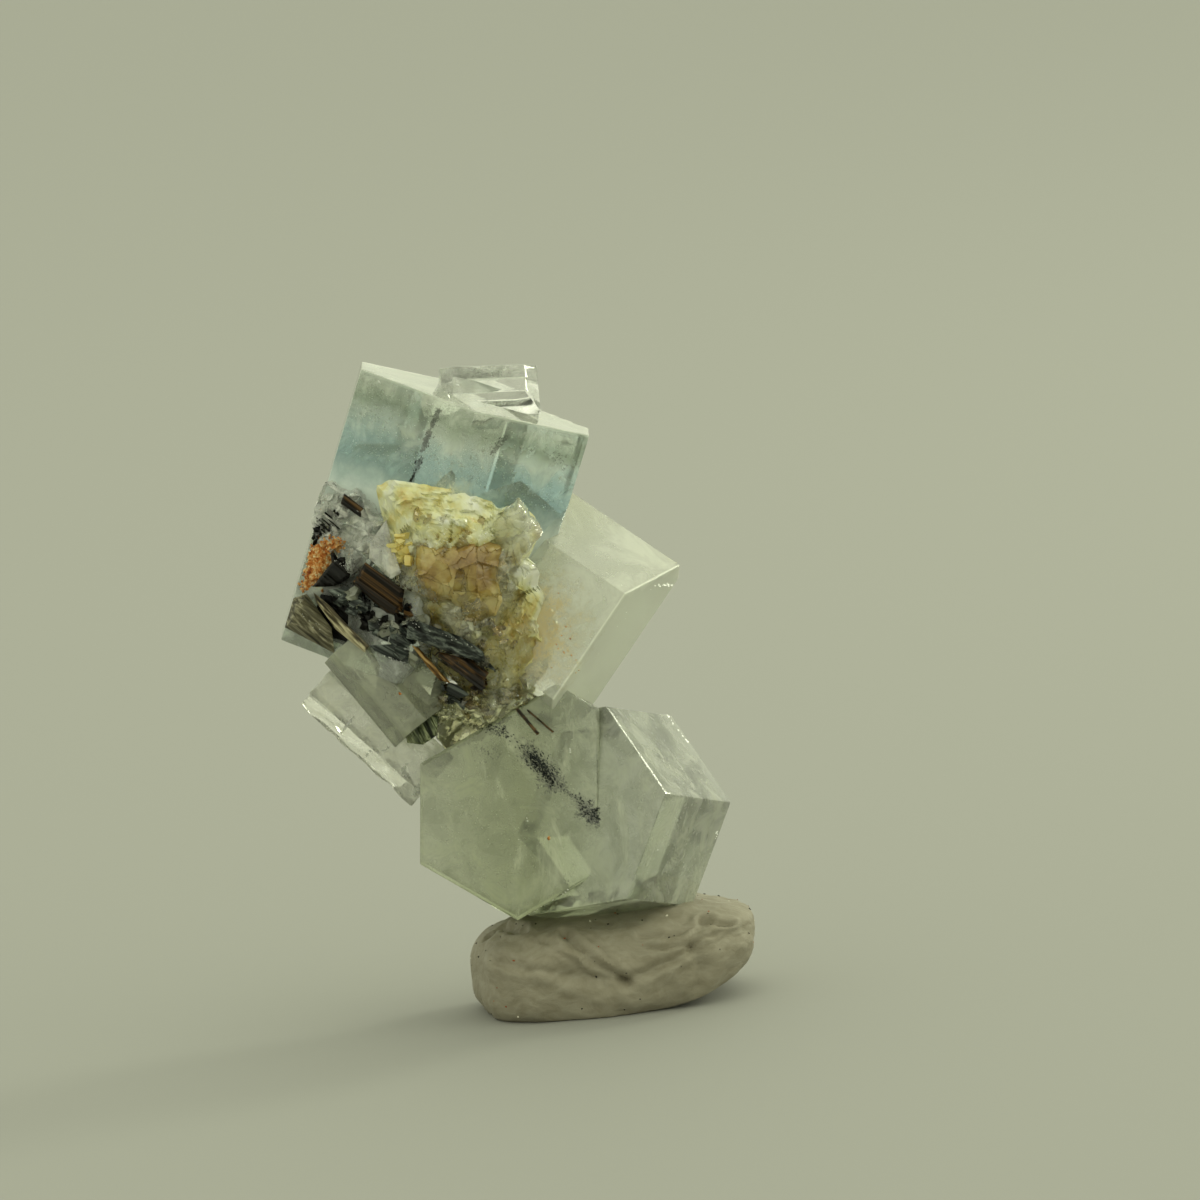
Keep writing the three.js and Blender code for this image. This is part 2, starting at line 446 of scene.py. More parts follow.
def crystal(name, prism, edge, rim=0.0, facets=(), spacing=0.45):
    """Beryl crystal: a block cut down to a six-sided prism, a rim of small faces round its far end,
    odd facets, broken edges, and faces divided along and across its axis."""
    reach = 3 * max(prism.length, *prism.faces)
    piece = begin(name, bpy.ops.mesh.primitive_cube_add, size=reach)
    half = prism.length / 2
    top = Vector((0, 0, half))
    for number, distance in enumerate(prism.faces):
        side = Vector((cos(number * pi / 3), sin(number * pi / 3), 0))
        cut(side * distance, side)
        if rim:
            cut(top + side * (distance - rim), (side + Vector((0, 0, 1))).normalized())
    cut(top, (0, 0, 1))
    cut(-top, (0, 0, -1))
    settle(piece, turned(prism.at, prism.axis, prism.facing))
    bpy.ops.object.mode_set(mode="EDIT")
    for point, normal in facets:
        cut(point, normal)
    break_edges(edge)
    frame_axes = turned(prism.at, prism.axis, prism.facing).to_3x3()
    for column in range(3):
        direction = frame_axes.col[column].normalized()
        stride = spacing * (2 if column == 2 else 1)
        slice_through(Vector(prism.at), direction, max(prism.length / 2, *prism.faces) * 1.2, stride)
    deselect()
    return piece


def shard(name, rng, cuts=7, flat=1.0):
    """Angular splinter: a block cut by odd planes."""
    piece = begin(name, bpy.ops.mesh.primitive_cube_add, size=2)
    for _ in range(cuts):
        normal = stray(rng, 1).normalized()
        cut(normal * rng.uniform(0.45, 0.8), normal)
    break_edges(0.03, 1)
    deselect()
    piece.data.transform(Matrix.Diagonal((1, 1, flat, 1)))
    return shape_of(piece)


def striate(piece, slope, height, spacing=0.07):
    """Cuts fine grooves along a piece whose length falls to the right by slope in degrees."""
    along = cos(radians(slope)) * RIGHT - sin(radians(slope)) * UP
    beside = along.cross(TOWARD)
    middle = sum((v.co for v in piece.data.vertices), Vector()) / len(piece.data.vertices)
    pick(piece)
    bpy.ops.object.mode_set(mode="EDIT")
    slice_through(middle, beside, 1.6, spacing)
    deselect()
    for vertex in piece.data.vertices:
        way = vertex.co.dot(beside)
        groove = noise.noise(Vector((way / 0.13, vertex.co.dot(along) * 0.15, 4.2)))
        vertex.co += TOWARD * height * (groove + 0.6 * noise.noise(Vector((way / 0.4, 0, 9.1))))


def slab(name, outline, depth, thickness, edge=0.03, lean=(0, 0), chamfer=0.0):
    """Flat piece with its outline facing the viewer: a filled circle whose corners are moved, its middle raised
    by a chamfer, then drawn back."""
    piece = begin(
        name, bpy.ops.mesh.primitive_circle_add, vertices=len(outline), radius=1, fill_type="NGON"
    )
    bpy.ops.object.mode_set(mode="OBJECT")
    middle_across, middle_up = np.mean(outline, axis=0)
    for vertex, (across, up) in zip(piece.data.vertices, outline):
        deeper = lean[0] * (across - middle_across) + lean[1] * (up - middle_up)
        vertex.co = spot(across, up, depth + deeper)
    piece.data.update()
    away_from_viewer = piece.data.polygons[0].normal.dot(TOWARD) < 0
    pick(piece)
    bpy.ops.object.mode_set(mode="EDIT")
    bpy.ops.mesh.select_all(action="SELECT")
    if away_from_viewer:
        bpy.ops.mesh.flip_normals()
    if chamfer:
        bpy.ops.mesh.inset(thickness=chamfer, depth=0.8 * chamfer, use_boundary=True)
        bpy.ops.mesh.select_all(action="SELECT")
    bpy.ops.mesh.extrude_region_move(TRANSFORM_OT_translate={"value": AWAY * thickness})
    bpy.ops.mesh.select_all(action="SELECT")
    bpy.ops.mesh.normals_make_consistent(inside=False)
    break_edges(edge)
    deselect()
    return piece


def fractured(name, outline, places, rng, coarse=0.9, fine=0.35, tilt=0.3):
    """Broken glassy mass seen from the front: a ball whose front is spread over an outline and set back through
    places of known depth, cell by cell on tilted planes as a fracture leaves them, its back drawn together."""
    piece = begin(name, bpy.ops.mesh.primitive_uv_sphere_add, segments=200, ring_count=120, radius=1)
    deselect()
    corners = np.array(outline)
    middle = corners.mean(axis=0)
    turns = np.unwrap(np.arctan2(*(corners - middle).T[::-1]))
    order = np.argsort(turns % (2 * pi))
    reaches = np.linalg.norm(corners - middle, axis=1)
    known = np.array(places)
    low, high = corners.min(axis=0), corners.max(axis=0)
    layers = []
    for size, step in ((coarse, 0.1), (fine, 0.04)):
        count = int(np.prod((high - low) / size))
        seeds = np.array([[rng.uniform(low[0], high[0]), rng.uniform(low[1], high[1])] for _ in range(count)])
        tilts = np.array([[rng.gauss(0, tilt), rng.gauss(0, tilt)] for _ in range(count)])
        steps = np.array([rng.gauss(0, step) for _ in range(count)])
        layers.append((seeds, tilts, steps))
    for vertex in piece.data.vertices:
        x, y, z = vertex.co
        angle = np.arctan2(y, x) % (2 * pi)
        ragged = 1 + 0.07 * noise.fractal(Vector((3 * cos(angle), 3 * sin(angle), len(outline))), 1.0, 2.0, 4)
        reach = ragged * np.interp(angle, turns[order] % (2 * pi), reaches[order], period=2 * pi)
        share = np.arccos(min(1, abs(z))) / (pi / 2)
        flat = middle + share * reach * np.array((cos(angle), sin(angle)))
        nearness = 1 / (np.sum((known[:, :2] - flat) ** 2, axis=1) + 0.05) ** 2
        depth = float(np.sum(nearness * known[:, 2]) / np.sum(nearness))
        if z < 0:
            depth += 1.2 * (1 - share ** 4)
        else:
            for seeds, tilts, steps in layers:
                offsets = flat - seeds
                cell = int(np.argmin(np.sum(offsets ** 2, axis=1)))
                depth += float(offsets[cell] @ tilts[cell] + steps[cell])
        vertex.co = spot(*flat, depth + 0.7 * share ** 6)
    return piece


def hewn(name, middle, radii, cuts, rng, edge=0.04):
    """Lump with flat broken faces: a block cut by many planes that touch an oval facing the viewer."""
    piece = begin(name, bpy.ops.mesh.primitive_cube_add, size=3 * max(radii))
    across, up, deep = radii
    for _ in range(cuts):
        x, y, z = stray(rng, 1).normalized()
        point = RIGHT * x * across + UP * y * up + TOWARD * z * deep
        normal = RIGHT * x / across + UP * y / up + TOWARD * z / deep
        cut(point * rng.uniform(0.86, 1.04), normal.normalized())
    break_edges(edge, 1)
    settle(piece, Matrix.Translation(middle))
    return piece


def gathered(name, pieces):
    """Several modelled pieces joined into one object."""
    pick(pieces[0])
    for piece in pieces[1:]:
        piece.select_set(True)
    bpy.ops.object.join()
    pieces[0].name = name
    pieces[0].data.name = name
    return pieces[0]


def within(prism, place, margin):
    """Whether a place lies inside a crystal, at least a margin below its faces."""
    x, y, z = turned(prism.at, prism.axis, prism.facing).inverted() @ place
    sides = (x * cos(i * pi / 3) + y * sin(i * pi / 3) < prism.faces[i] - margin for i in range(6))
    return abs(z) < prism.length / 2 - margin and all(sides)


def strewn(name, shapes, strips, rng, aligned=False, gap=None, margin=0.06):
    """Many small copies along strips, each the crystal that they stay in, a start, an end, a spread, a count
    and two sizes. Aligned copies lie along their strip; a gap leaves out those where a slow noise is below it,
    so that the rest hang in wisps. All stay a margin below the crystal's faces."""
    parts = []
    for prism, start, end, wander, count, (small, large) in strips:
        first, last = spot(*start), spot(*end)
        for _ in range(count):
            place = first.lerp(last, rng.random()) + stray(rng, wander)
            if gap is not None and noise.fractal(place * 0.9, 1.0, 2.0, 3) < gap:
                continue
            if not within(prism, place, margin):
                continue
            turn = random_turn(rng)
            if aligned:
                turn = turned((0, 0, 0), (last - first).normalized() + stray(rng, 0.25), (0.3, -1, 0.2))
            size = Matrix.Scale(rng.uniform(small, large), 4)
            parts.append((rng.choice(shapes), Matrix.Translation(place) @ turn @ size))
    return joined_mesh(name, parts)


def grains_on(piece, name, shapes, count, sizes, rng, turn=random_turn):
    """Small copies stuck to the side of a piece that the viewer sees."""
    faces = [face for face in piece.data.polygons if face.normal.dot(TOWARD) > 0.1]
    faces.sort(key=lambda face: tuple(face.center))
    areas = [face.area for face in faces]
    parts = []
    for face in rng.choices(faces, areas, k=count):
        corners = [piece.data.vertices[i].co for i in face.vertices]
        shares = [rng.random() + 0.05 for _ in corners]
        place = sum((c * w for c, w in zip(corners, shares)), Vector()) / sum(shares)
        size = Matrix.Scale(rng.uniform(*sizes), 4)
        parts.append((rng.choice(shapes), Matrix.Translation(place) @ turn(rng) @ size))
    return joined_mesh(name, parts)


def copied_back(name):
    """Copy of a finished piece in millimetres again, to work with and put away."""
    piece = PIECES[name].copy()
    piece.data = piece.data.copy()
    piece.data.transform(Matrix.Scale(1 / MM, 4))
    piece.data.transform(Matrix.Translation(-SPECIMEN))
    bpy.context.scene.collection.objects.link(piece)
    piece.parent = None
    return piece


def flake(name, sides, thickness):
    """Thin many-sided plate, or a splint where it is thick."""
    piece = begin(name, bpy.ops.mesh.primitive_circle_add, vertices=sides, radius=1, fill_type="NGON")
    bpy.ops.mesh.extrude_region_move(TRANSFORM_OT_translate={"value": (0, 0, thickness)})
    bpy.ops.mesh.select_all(action="SELECT")
    bpy.ops.mesh.normals_make_consistent(inside=False)
    deselect()
    return shape_of(piece)


# Materials


def add(tree, kind, inputs=None, stops=None, **settings):
    """Adds a node with its settings; an input that is a socket is linked, any other is set. Stops colour a
    ramp."""
    made = tree.nodes.new(kind)
    for key, value in settings.items():
        setattr(made, key, value)
    for key, value in (inputs or {}).items():
        if isinstance(value, bpy.types.NodeSocket):
            tree.links.new(value, made.inputs[key])
        else:
            made.inputs[key].default_value = value
    if stops:
        while len(made.color_ramp.elements) < len(stops):
            made.color_ramp.elements.new(0.5)
        for element, (position, code) in zip(made.color_ramp.elements, stops):
            element.position = position
            element.color = opaque(code)
    return made


def new_material(name):
    """Empty material and its node tree with an output."""
    material = bpy.data.materials.new(name)
    material.use_nodes = True
    tree = material.node_tree
    tree.nodes.clear()
    return material, tree, tree.nodes.new("ShaderNodeOutputMaterial")


def cycles_per_mm(size):
    """Noise scale in metres for features of one size in millimetres."""
    return 1 / (size * MM)


def object_place(tree):
    """Where on its piece a point lies."""
    return add(tree, "ShaderNodeTexCoord").outputs["Object"]


def mapped(tree, place, **settings):
    """A place moved, turned or stretched."""
    return add(tree, "ShaderNodeMapping", {"Vector": place, **settings}).outputs["Vector"]


def separate(tree, place):
    """The three numbers of a place."""
    return add(tree, "ShaderNodeSeparateXYZ", {"Vector": place}).outputs


def warped(tree, place, push, reach):
    """A place pushed about by a noise's colour, as far as a reach in millimetres."""
    inputs = {0: push, 1: (reach * MM,) * 3, 2: place}
    return add(tree, "ShaderNodeVectorMath", inputs, operation="MULTIPLY_ADD").outputs["Vector"]


def clouds(tree, place, size, **settings):
    """Noise with features of one size in millimetres."""
    return add(tree, "ShaderNodeTexNoise", {"Vector": place, "Scale": cycles_per_mm(size), **settings}).outputs


def combine(tree, operation, *values):
    """One number made of two or three others."""
    return add(tree, "ShaderNodeMath", dict(enumerate(values)), operation=operation).outputs["Value"]


def spread(tree, value, low, high, start=0.0, end=1.0, **settings):
    """A number that goes from start to end while another goes from low to high."""
    inputs = {"Value": value, 1: low, 2: high, 3: start, 4: end}
    return add(tree, "ShaderNodeMapRange", inputs, **settings).outputs["Result"]


def coloured(tree, value, stops):
    """Colour that a ramp gives to a number."""
    return add(tree, "ShaderNodeValToRGB", {"Fac": value}, stops).outputs["Color"]


def mixed(tree, share, first, second, blend="MIX"):
    """The second of two colours mixed into the first."""
    inputs = {0: share, 6: first, 7: second}
    return add(tree, "ShaderNodeMix", inputs, data_type="RGBA", blend_type=blend).outputs[2]


def surface(tree, output, tint, roughness, relief, inputs=None):
    """Surface with fine relief, which is a height, its strength and its depth in millimetres."""
    height, strength, depth = relief
    bump = add(tree, "ShaderNodeBump", {"Height": height, "Strength": strength, "Distance": depth * MM})
    shader = add(tree, "ShaderNodeBsdfPrincipled", {
        "Base Color": tint, "Roughness": roughness, "Normal": bump.outputs["Normal"], **(inputs or {}),
    })
    tree.links.new(shader.outputs["BSDF"], output.inputs["Surface"])


def beryl(
    name, prism, bands, haze, roughness, absorbs, density,
    stain=None, frost=0.0, backing=0.0, cloud=None, wisps=None,
):
    """Beryl, a clear to cloudy silicate with glassy faces: bends light like hard glass, is coloured in bands
    across its length and by its thickness, has fine growth lines along it, and is milky in patches. Haze is
    its least and most, the size of its patches in millimetres and its colour; stain is a rusty place's middle,
    reach and colour; frost is the haze of its end faces, backing that of its far side, cloud two levels
    along it and the haze at the first of them, which is less above and below, and wisps the width in
    millimetres, the haze and the colour of pale threads drawn through it."""
    material, tree, output = new_material(name)
    axis = Vector(prism.axis).normalized()
    turn = axis.to_track_quat("Z", "Y").inverted()
    middle = turn @ ((Vector(prism.at) + SPECIMEN) * MM)
    place = object_place(tree)
    upright = mapped(tree, place, Rotation=turn.to_euler(), Location=-middle)
    half = prism.length / 2 * MM
    level = spread(tree, separate(tree, upright)["Z"], -half, half)
    lines = clouds(tree, mapped(tree, upright, Scale=(1, 1, 0.06)), 0.3, Detail=3)["Fac"]
    least, most, size, milk = haze
    patches = clouds(tree, place, size, Detail=7, Roughness=0.62, Distortion=0.6)["Fac"]
    mottle = combine(tree, "SUBTRACT", patches, 0.5)
    wavy = combine(tree, "MULTIPLY_ADD", mottle, 0.16, level)
    band = coloured(tree, wavy, bands)
    milky = spread(tree, patches, 0.42, 0.68, least, most)
    if frost:
        ends = spread(tree, level, 0.98, 0.995, 0.0, frost)
        milky = combine(tree, "MAXIMUM", milky, ends)
    if cloud:
        low, high, amount = cloud
        foot = spread(tree, wavy, low, high, amount, 0.0)
        fade = spread(tree, level, low - 0.16, low, 0.3, 1.0)
        milky = combine(tree, "MAXIMUM", milky, combine(tree, "MULTIPLY", foot, fade))
    if backing:
        behind = (prism.at[1] + SPECIMEN.y) * MM
        far_side = spread(tree, separate(tree, place)["Y"], behind, behind + 1.5 * MM, 0.0, backing)
        milky = combine(tree, "MAXIMUM", milky, far_side)
    whey = mixed(tree, 1.0, band, opaque(milk), "MULTIPLY")
    tint = mixed(tree, milky, band, whey)
    if wisps:
        width, thickness, pale = wisps
        leaning = mapped(tree, place, Rotation=(0, radians(38), 0), Scale=(1, 1, 0.3))
        threads = clouds(tree, leaning, width, Detail=6, Roughness=0.62, Distortion=1.4)["Fac"]
        wisp = spread(tree, threads, 0.47, 0.72, 0.0, thickness)
        tint = mixed(tree, wisp, tint, opaque(pale))
        milky = combine(tree, "MAXIMUM", milky, wisp)
    if stain:
        point, reach, rust = stain
        centre = (Vector(point) + SPECIMEN) * MM
        far = add(tree, "ShaderNodeVectorMath", {0: place, 1: centre}, operation="DISTANCE").outputs["Value"]
        near = spread(tree, far, 0.0, reach * MM, 0.62, 0.0)
        grain = clouds(tree, place, 0.5, Detail=10, Roughness=0.85)["Fac"]
        rusty = spread(tree, combine(tree, "ADD", near, grain), 0.76, 1.0, 0.0, 0.8)
        tint = mixed(tree, rusty, tint, opaque(rust))
        milky = combine(tree, "MAXIMUM", milky, rusty)
    clear = combine(tree, "SUBTRACT", 1.0, milky)
    surface(tree, output, tint, roughness, (lines, 0.12, 0.02), {
        "IOR": BERYL_IOR, "Transmission Weight": clear,
    })
    inside = add(tree, "ShaderNodeVolumeAbsorption", {"Color": opaque(absorbs), "Density": density})
    tree.links.new(inside.outputs["Volume"], output.inputs["Volume"])
    return material


def stained_quartz(name, body, crack, size, transmission, roughness, low=0.0, high=0.0):
    """Fractured glassy gangue stained by iron: cream to yellow in the mass, ochre to brown along its cracks,
    which lie one size in millimetres apart. The stain deepens downward between two heights where they are
    given."""
    material, tree, output = new_material(name)
    place = object_place(tree)
    broad = clouds(tree, place, 1.6, Detail=5, Roughness=0.6)
    level = broad["Fac"]
    if high:
        shift = spread(tree, separate(tree, place)["Z"], low * MM, high * MM, 0.14, -0.06)
        level = combine(tree, "ADD", level, shift)
    cells = add(tree, "ShaderNodeTexVoronoi", {
        "Vector": warped(tree, place, broad["Color"], 2.4), "Scale": cycles_per_mm(size),
    }, feature="DISTANCE_TO_EDGE")
    near = spread(tree, cells.outputs["Distance"], 0.0, 0.3, 0.75, 0.0)
    patch = spread(tree, level, 0.46, 0.66)
    seep = combine(tree, "MULTIPLY", near, patch)
    tint = mixed(tree, seep, coloured(tree, level, body), opaque(crack))
    grain = clouds(tree, place, 0.25, Detail=5)["Fac"]
    surface(tree, output, tint, roughness, (grain, 0.3, 0.05), {
        "IOR": QUARTZ_IOR, "Transmission Weight": transmission, "Coat Weight": 0.5, "Coat Roughness": 0.04,
    })
    return material


def schorl(name, stops, roughness, slope):
    """Black tourmaline, striated along its prisms, which fall to the right by slope in degrees: glassy and
    near black, brown or olive where it is thin."""
    material, tree, output = new_material(name)
    along = cos(radians(slope)) * RIGHT - sin(radians(slope)) * UP
    turn = along.to_track_quat("Z", "Y").inverted()
    upright = mapped(tree, object_place(tree), Rotation=turn.to_euler())
    drawn = mapped(tree, upright, Scale=(1, 1, 0.02))
    stripes = clouds(tree, drawn, 0.16, Detail=3, Roughness=0.6)["Fac"]
    surface(tree, output, coloured(tree, stripes, stops), roughness, (stripes, 0.8, 0.06), {
        "IOR": SCHORL_IOR, "Specular IOR Level": 0.15,
    })
    return material


SCHORL_FINISHES = {
    "jet": ([(0.3, "#020202"), (0.7, "#12100C")], 0.25, 40),
    "brown": ([(0.36, "#0A0806"), (0.5, "#241A10"), (0.62, "#5E4526")], 0.3, 36),
    "olive": ([(0.3, "#1C1A12"), (0.5, "#5E5A46"), (0.7, "#A39E84")], 0.25, 38),
    "striped": ([(0.38, "#17130C"), (0.5, "#5D543D"), (0.6, "#C2BA98")], 0.28, 46),
    "slate": ([(0.32, "#0E100F"), (0.5, "#363B39"), (0.68, "#7E867F")], 0.16, 28),
    "amber": ([(0.38, "#2A1C0D"), (0.5, "#7A5A30"), (0.62, "#B99A62")], 0.25, 48),
    "green": ([(0.38, "#1B2015"), (0.5, "#4C543A"), (0.62, "#9AA17C")], 0.25, 62),
}


def earthy(name, stops, size, roughness, depth):
    """Dry, powdery mineral: no gloss, colour varying from grain to grain."""
    material, tree, output = new_material(name)
    grain = clouds(tree, object_place(tree), size, Detail=6, Roughness=0.6)["Fac"]
    surface(tree, output, coloured(tree, grain, stops), roughness, (grain, 0.6, depth))
    return material


def putty(name, body):
    """Kneaded mineral putty: matte and faintly waxy, streaked by fine swirls where it was drawn out."""
    material, tree, output = new_material(name)
    place = object_place(tree)
    broad = clouds(tree, place, 2.2, Detail=3)
    drawn = mapped(tree, warped(tree, place, broad["Color"], 2.0), Scale=(0.6, 0.7, 1.3))
    swirls = clouds(tree, drawn, 0.45, Detail=7, Roughness=0.62)["Fac"]
    shade = coloured(tree, swirls, [(0.3, "#DCD9D0"), (0.7, "#FFFFFF")])
    tint = mixed(tree, 1.0, (*body, 1), shade, "MULTIPLY")
    surface(tree, output, tint, 0.62, (swirls, 0.5, 0.12))
    return material


# Pieces


class SPECIMEN_OT_blue_crystal(bpy.types.Operator):
    """Models the largest crystal, blue at its edges, with the small clear one across its top"""

    bl_idname = "specimen.blue_crystal"
    bl_label = "Blue crystal and its cap"

    def execute(self, context):
        sizes = context.scene.specimen.crystal
        broken_front = (spot(1.0, 18.85, -1.5), RIGHT * 0.72 - UP * 0.62 + TOWARD * 0.3)
        blue = crystal("blue_crystal", BLUE, sizes.edge, facets=(broken_front,))
        ruffle(blue, sizes.wave, 1.4, BLUE.axis, 1)
        smooth(blue, 25)
        water = beryl(
            "aquamarine", BLUE,
            [
                (0.3, "#F4F8F4"), (0.6, "#EAF4F5"), (0.71, "#C2E0E8"), (0.79, "#D4E9EA"), (0.86, "#F0F5EC"),
                (0.92, "#B2BEAA"), (0.96, "#D6DECF"), (1.0, "#F2F5EA"),
            ],
            (0.15, 0.55, 1.3, "#F4F8F2"), 0.03, "#8AD2DE", 12, (spot(-3.3, 19.0, -4.4), 2.7, "#F2EDC8"),
            frost=0.4, backing=0.2, cloud=(0.6, 0.77, 0.75),
        )
        finish(blue, water, "beryl", ["aquamarine_cluster"])
        clear = beryl(
            "goshenite", CAP, [(0, "#FFFFFF"), (1, "#FFFFFF")], (0.0, 0.35, 0.8, "#FBFBF5"), 0.02, "#E8EEDE", 10
        )
        right_end = (spot(0.0, 23.6, 0), RIGHT * 0.8 + UP * 0.35 + TOWARD * 0.48)
        left_end = (spot(-3.5, 24.1, 0), -RIGHT * 0.75 + UP * 0.3 + TOWARD * 0.5)
        cap = crystal("cap_crystal", CAP, 0.03, facets=(right_end, left_end), spacing=0.3)
        ruffle(cap, sizes.wave, 0.8, CAP.axis, 2)
        smooth(cap, 20)
        finish(cap, clear, "beryl", ["aquamarine_cluster"])
        return {"FINISHED"}


class SPECIMEN_OT_right_crystal(bpy.types.Operator):
    """Models the pale crystal at the right"""

    bl_idname = "specimen.right_crystal"
    bl_label = "Right crystal"

    def execute(self, context):
        sizes = context.scene.specimen.crystal
        tip = (spot(5.25, 16.5, -2.8), RIGHT * 0.8 + UP * 0.37 + TOWARD * 0.48)
        piece = crystal("right_crystal", RIGHT_HAND, sizes.edge, facets=(tip,))
        ruffle(piece, sizes.wave, 1.2, RIGHT_HAND.axis, 3)
        smooth(piece, 25)
        pale = beryl(
            "pale_green_beryl", RIGHT_HAND, [(0.1, "#F1EACC"), (0.4, "#F6F7E6"), (0.7, "#FDFEF8")],
            (0.24, 0.46, 2.0, "#FAFBF0"), 0.05, "#D2E2CC", 24, (spot(-0.5, 14.6, -2.5), 4.6, "#C6AE68"),
            frost=0.6, backing=0.15,
        )
        finish(piece, pale, "beryl", ["aquamarine_cluster"])
        return {"FINISHED"}


class SPECIMEN_OT_lower_crystals(bpy.types.Operator):
    """Models the two stubby crystals at the bottom, grown into one another"""

    bl_idname = "specimen.lower_crystals"
    bl_label = "Lower crystals"

    def execute(self, context):
        sizes = context.scene.specimen.crystal
        front = crystal("lower_crystals", LOWER_FRONT, sizes.edge, rim=0.12)
        right = crystal("lower_right", LOWER_RIGHT, sizes.edge, rim=0.8)
        apply_modifier(front, "BOOLEAN", object=right, operation="UNION", solver="EXACT")
        bpy.data.objects.remove(right)
        ruffle(front, sizes.wave, 1.5, None, 4)
        smooth(front, 25)
        dusty = beryl(
            "cloudy_green_beryl", ACROSS_LOWER, [
                (0.05, "#F0F2E4"), (0.2, "#DEE2CA"), (0.36, "#C8CDAE"), (0.52, "#E2E6D6"), (0.66, "#F6F8F4"),
                (0.85, "#FFFFFF"),
            ],
            (0.14, 0.6, 1.3, "#A3A98A"), 0.1, "#A0AE84", 80, backing=0.3, wisps=(1.5, 0.62, "#CCD0B8"),
        )
        finish(front, dusty, "beryl", ["aquamarine_cluster"])
        return {"FINISHED"}


class SPECIMEN_OT_left_crystals(bpy.types.Operator):
    """Models the pale and the grey crystal at the lower left and the clear chunk at the upper left"""

    bl_idname = "specimen.left_crystals"
    bl_label = "Left crystals"

    def execute(self, context):
        sizes = context.scene.specimen.crystal
        plain = [(0, "#FFFFFF"), (1, "#FFFFFF")]
        clear = beryl(
            "clear_beryl", LEFT_PALE, plain, (0.25, 0.6, 0.8, "#E6E7CE"), 0.06, "#D9DDC0", 30
        )
        grey = beryl(
            "grey_beryl", LEFT_GREY, [(0, "#E2E4D6"), (1, "#D6D8C6")], (0.25, 0.6, 1.2, "#A4AA8C"), 0.06,
            "#A3AA8C", 150,
        )
        for seed, (name, prism, material) in enumerate((
            ("left_pale_crystal", LEFT_PALE, clear), ("left_grey_crystal", LEFT_GREY, grey),
        ), 5):
            piece = crystal(name, prism, 0.03, spacing=0.16)
            ruffle(piece, 2 * sizes.wave, 0.7, prism.axis, seed)
            if prism is LEFT_PALE:
                ruffle(piece, 0.09, 0.45, None, seed)
            smooth(piece, 25)
            finish(piece, material, "beryl", ["aquamarine_cluster"])
        rng = random.Random(31)
        chunk = fractured("left_clear_chunk", [
            (-8.4, 18.95), (-7.69, 20.1), (-7.1, 19.8), (-5.84, 19.1), (-5.5, 18.1), (-6.0, 16.9), (-7.07, 16.5),
            (-7.95, 17.3), (-8.4, 18.2),
        ], [
            (-8.2, 18.6, -1.9), (-7.7, 19.9, -2.0), (-7.25, 18.5, -2.9), (-6.5, 19.2, -3.0), (-6.0, 18.0, -3.5),
            (-6.5, 17.0, -3.3), (-7.6, 17.4, -2.6),
        ], rng, 0.7, 0.3, 0.45)
        smooth(chunk, 15)
        glassy = beryl("water_clear_beryl", LEFT_CLEAR, plain, (0.2, 0.6, 0.7, "#FAF9EA"), 0.02, "#D9DEC4", 14)
        finish(chunk, glassy, "beryl", ["aquamarine_cluster"])
        glass = hewn("grey_glass_chunk", spot(-4.55, 12.4, -2.8), (1.2, 1.4, 0.75), 30, rng)
        finish(glass, grey, "beryl", ["aquamarine_cluster"])
        wedge = slab("glass_wedge", [
            (-6.27, 17.71), (-5.62, 18.62), (-5.26, 17.25), (-5.05, 16.61), (-5.47, 16.38), (-6.27, 17.14),
        ], -3.9, 0.8, 0.03, (-0.2, 0.1), 0.14)
        finish(wedge, glassy, "beryl", ["aquamarine_cluster"])
        return {"FINISHED"}


